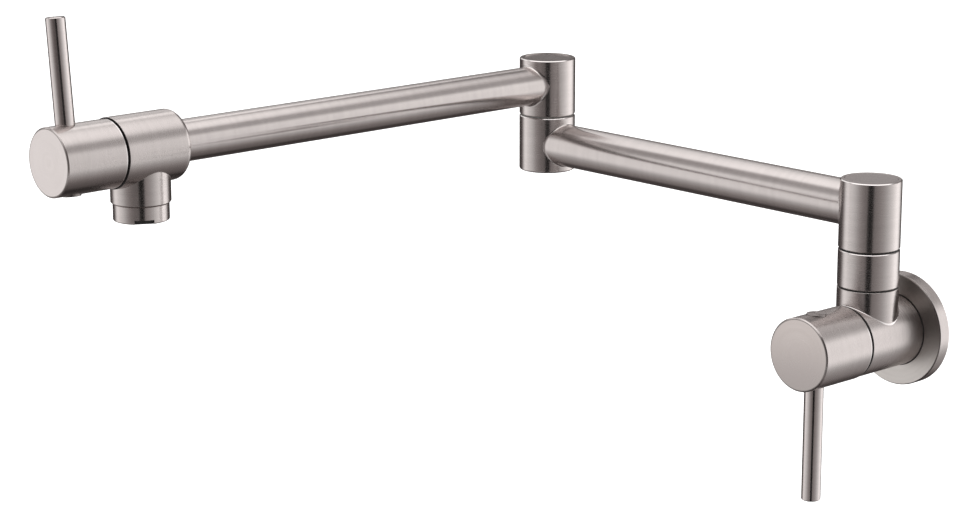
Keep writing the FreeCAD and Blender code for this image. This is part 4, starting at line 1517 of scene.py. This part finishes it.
@dataclass(frozen=True)
class Studio:
    """White sweep, soft light from panels and dark gaps round the object, and the camera.

    Angles are degrees round the object from the camera's side, positive to the camera's right.
    """

    camera_azimuth: float = 47.41
    camera_elevation: float = 13.42
    camera_place: tuple[float, float, float] = (859.01, -1086.94, 362.90)
    lens: float = 98.74
    floor_height: float = -0.26
    floor_reach: float = 60.0
    level: Pairs = (
        (-180, 0.04), (-131, 0.08), (-120, 0.42), (-112, 0.92), (-101, 1.10), (-90, 0.93),
        (-80, 0.82), (-70, 0.70), (-60, 0.54), (-48, 0.34), (-36, 0.21), (-24, 0.13),
        (-12, 0.10), (0, 0.10), (12, 0.17), (24, 0.23), (36, 0.32), (48, 0.43), (60, 0.60),
        (72, 0.79), (84, 0.99), (96, 1.24), (106, 1.42), (116, 1.38), (125, 1.15),
        (134, 0.45), (143, 0.10), (155, 0.05), (180, 0.04),
    )
    shoulder: Pairs = (
        (-180, 0.50), (-173, 0.90), (-126, 1.05), (-117, 0.22), (-108, 0.28), (-97, 0.50),
        (-80, 0.55), (-40, 0.30), (0, 0.12), (40, 0.28), (70, 0.42), (84, 0.48), (96, 0.44),
        (115, 0.36), (130, 0.18), (150, 0.08), (165, 0.07), (175, 0.30), (180, 0.50),
    )
    overhead: float = 1.33
    below: Pairs = (
        (-90, 0.03), (-65, 0.07), (-52, 0.17), (-43, 0.31), (-35, 0.46), (-27, 0.54),
        (-15, 0.62),
    )
    card_place: tuple[float, float, float] = (752.0, -924.0, -40.0)
    card_half: Span = (0.225, 1.1)
    shoulder_rise: Span = (19.0, 31.0)
    shoulder_rise_behind: Span = (8.0, 20.0)
    behind: Span = (130.0, 155.0)
    wall_glow: float = 0.45
    wall_glow_bearing: Span = (169.0, 13.0)
    wall_glow_rise: Span = (11.0, 9.0)
    back_bearing: Span = (163.0, 174.0)
    back_rise: Span = (27.0, 35.0)
    overhead_rise: Span = (44.0, 52.0)
    below_rise: Span = (-34.0, -14.0)
    below_dimmed_behind: float = 0.8
    warm_below: float = 0.6
    warm: Colour = (1.0, 0.87, 0.85)
    cool: Colour = (1.0, 0.99, 0.985)

    def aim(self, place: Sequence[float]) -> Matrix:
        """Give the matrix of a place in millimetres, turned to the camera's side."""
        turn = Matrix.Rotation(math.radians(self.camera_azimuth), 4, "Z")
        return Matrix.Translation(Vector(place) * MM) @ turn

    def build_camera(self) -> None:
        """Add the camera at the photographed angle."""
        camera = bpy.data.objects.new("camera", bpy.data.cameras.new("camera"))
        camera.data.lens = self.lens
        camera.data.sensor_width = 36.0
        camera.data.sensor_fit = "HORIZONTAL"
        camera.data.clip_start = 0.01
        camera.data.clip_end = 200.0
        tilt = Matrix.Rotation(math.radians(90 - self.camera_elevation), 4, "X")
        camera.matrix_world = self.aim(self.camera_place) @ tilt
        bpy.context.scene.collection.objects.link(camera)
        bpy.context.scene.camera = camera

    def build_light(self) -> None:
        """Light the room by direction, and leave it white behind the object."""
        world = bpy.data.worlds.new("studio")
        bpy.context.scene.world = world
        graph = Graph(world)
        x, y, z = graph.coordinates("Generated")
        facing = math.radians(self.camera_azimuth)
        forward = x * math.sin(facing) - y * math.cos(facing)
        sideways = x * math.cos(facing) + y * math.sin(facing)
        bearing = sideways.angle_over(forward) * (180 / math.pi)
        rise = z.arc_sine() * (180 / math.pi)

        def ramp(given: Signal, low: float, span: float, stops: Pairs) -> Signal:
            """Give the level of light at an angle.

            Args:
                given: the angle, in degrees.
                low: the least angle.
                span: how far the angles go from there.
                stops: (angle, level) pairs.

            Returns:
                The level.
            """
            node = graph.node("ShaderNodeValToRGB", {
                "stops": [((place - low) / span, (level,) * 3) for place, level in stops],
            }, {"Fac": (given - low) / span})
            return graph.signal(node, "Color")

        low = ramp(bearing, -180.0, 360.0, self.level)
        middle = ramp(bearing, -180.0, 360.0, self.shoulder)
        under = ramp(rise, -90.0, 90.0, self.below)
        near, far = self.behind
        behind = bearing.between(near, far) + (1 - bearing.between(-far, -near))
        lifted = rise.between(*self.shoulder_rise)
        lifted = lifted + behind * (rise.between(*self.shoulder_rise_behind) - lifted)
        level = low + (middle - low) * lifted
        glow = bearing.hill(*self.wall_glow_bearing) * rise.hill(*self.wall_glow_rise)
        level = level + glow * self.wall_glow
        back = bearing.between(*self.back_bearing) * rise.between(*self.back_rise)
        level = level + (self.overhead - level) * back
        level = level + (self.overhead - level) * rise.between(*self.overhead_rise)
        under = under * (1 - behind * self.below_dimmed_behind)
        level = level + (under - level) * (1 - rise.between(*self.below_rise))
        warmth = graph.blend(level.between(0.0, self.warm_below), self.warm, self.cool)
        light = graph.node("ShaderNodeBackground", {}, {"Color": warmth, "Strength": level})
        white = graph.node("ShaderNodeBackground", {}, {"Color": (1.0, 1.0, 1.0, 1.0)})
        path = graph.node("ShaderNodeLightPath", {}, {})
        both = graph.node("ShaderNodeMixShader", {}, {
            0: path.outputs["Is Camera Ray"], 1: light.outputs[0], 2: white.outputs[0],
        })
        graph.node("ShaderNodeOutputWorld", {}, {"Surface": both.outputs[0]})

    def build_card(self) -> None:
        """Stand the tall black card in front of the object, which the upright pieces mirror."""
        card = sheet("black_card", *self.card_half, {
            "Base Color": (0.01, 0.01, 0.01, 1.0), "Roughness": 1.0, "Specular IOR Level": 0.0,
        })
        card.matrix_world = self.aim(self.card_place) @ Facing.OUTWARD.value
        card.visible_camera = False
        card.visible_diffuse = False
        card.visible_shadow = False

    def build_floor(self) -> None:
        """Lay the plain pale floor well below the object."""
        floor = sheet("floor", self.floor_reach, self.floor_reach, {
            "Base Color": (0.9, 0.9, 0.9, 1.0),
            "Roughness": 0.9,
            "Emission Color": (1.0, 1.0, 1.0, 1.0),
            "Emission Strength": 0.7,
        })
        floor.location.z = self.floor_height
        floor.visible_glossy = False

    def build(self) -> None:
        """Set up the camera, the light and the floor."""
        view = bpy.context.scene.view_settings
        view.view_transform = "Standard"
        view.look = "None"
        self.build_camera()
        self.build_light()
        self.build_card()
        self.build_floor()


def build_pot_filler() -> list[SubAssembly]:
    """List the sub-assemblies.

    Returns:
        Them in the order that the water takes.
    """
    return [
        WallFlange(),
        WallValve(),
        SwivelCollar(),
        Swivel(
            label="column", node="column_head", cap_node="column_cap", x=0.0, foot=48.0,
            top=84.0, tube_height=LOWER_TUBE_HEIGHT, cap_inset=0.05, body=Body.LOWER_ARM,
            cap_face=SATIN_FACE, seam=SEAM_SHADE,
        ),
        LowerArm(),
        Swivel(
            label="elbow", node="elbow_upper_hub", cap_node="elbow_cap", x=-ARM_LENGTH,
            foot=86.1, top=118.5, tube_height=UPPER_TUBE_HEIGHT, cap_inset=0.4,
            body=Body.UPPER_ARM, cap_face=ELBOW_CAP_FACE_SHADED, seam=ELBOW_SEAM_SHADE,
        ),
        UpperArm(),
        OutletValve(),
        Aerator(),
        Handle(
            label="wall", body=Body.WALL_HANDLE, x=0.0, y=0.0, z=0.0, rear=49.0, radius=19.25,
            lever_length=60.3, set_back=13.0, lean=0.0, points_up=False,
            face_finish=WALL_HANDLE_FACE_SHADED,
        ),
        Handle(
            label="outlet", body=Body.OUTLET_HANDLE, x=-ARM_LENGTH, y=-WALL_GAP,
            z=OUTLET_HEIGHT, rear=304.4, radius=17.7, lever_length=53.1, set_back=11.7,
            lean=5.6, points_up=True, face_finish=OUTLET_HANDLE_FACE_LIT,
        ),
    ]


def main() -> None:
    """Load the frame, set up the studio, build every sub-assembly on it, and dress the inner
    pieces.
    """
    logging.basicConfig(level=logging.INFO, format="%(message)s")
    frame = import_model()
    Studio().build()
    for part in build_pot_filler():
        part.build()
    dress_inner_pieces(frame["nodes"])


if __name__ == "__main__":
    main()
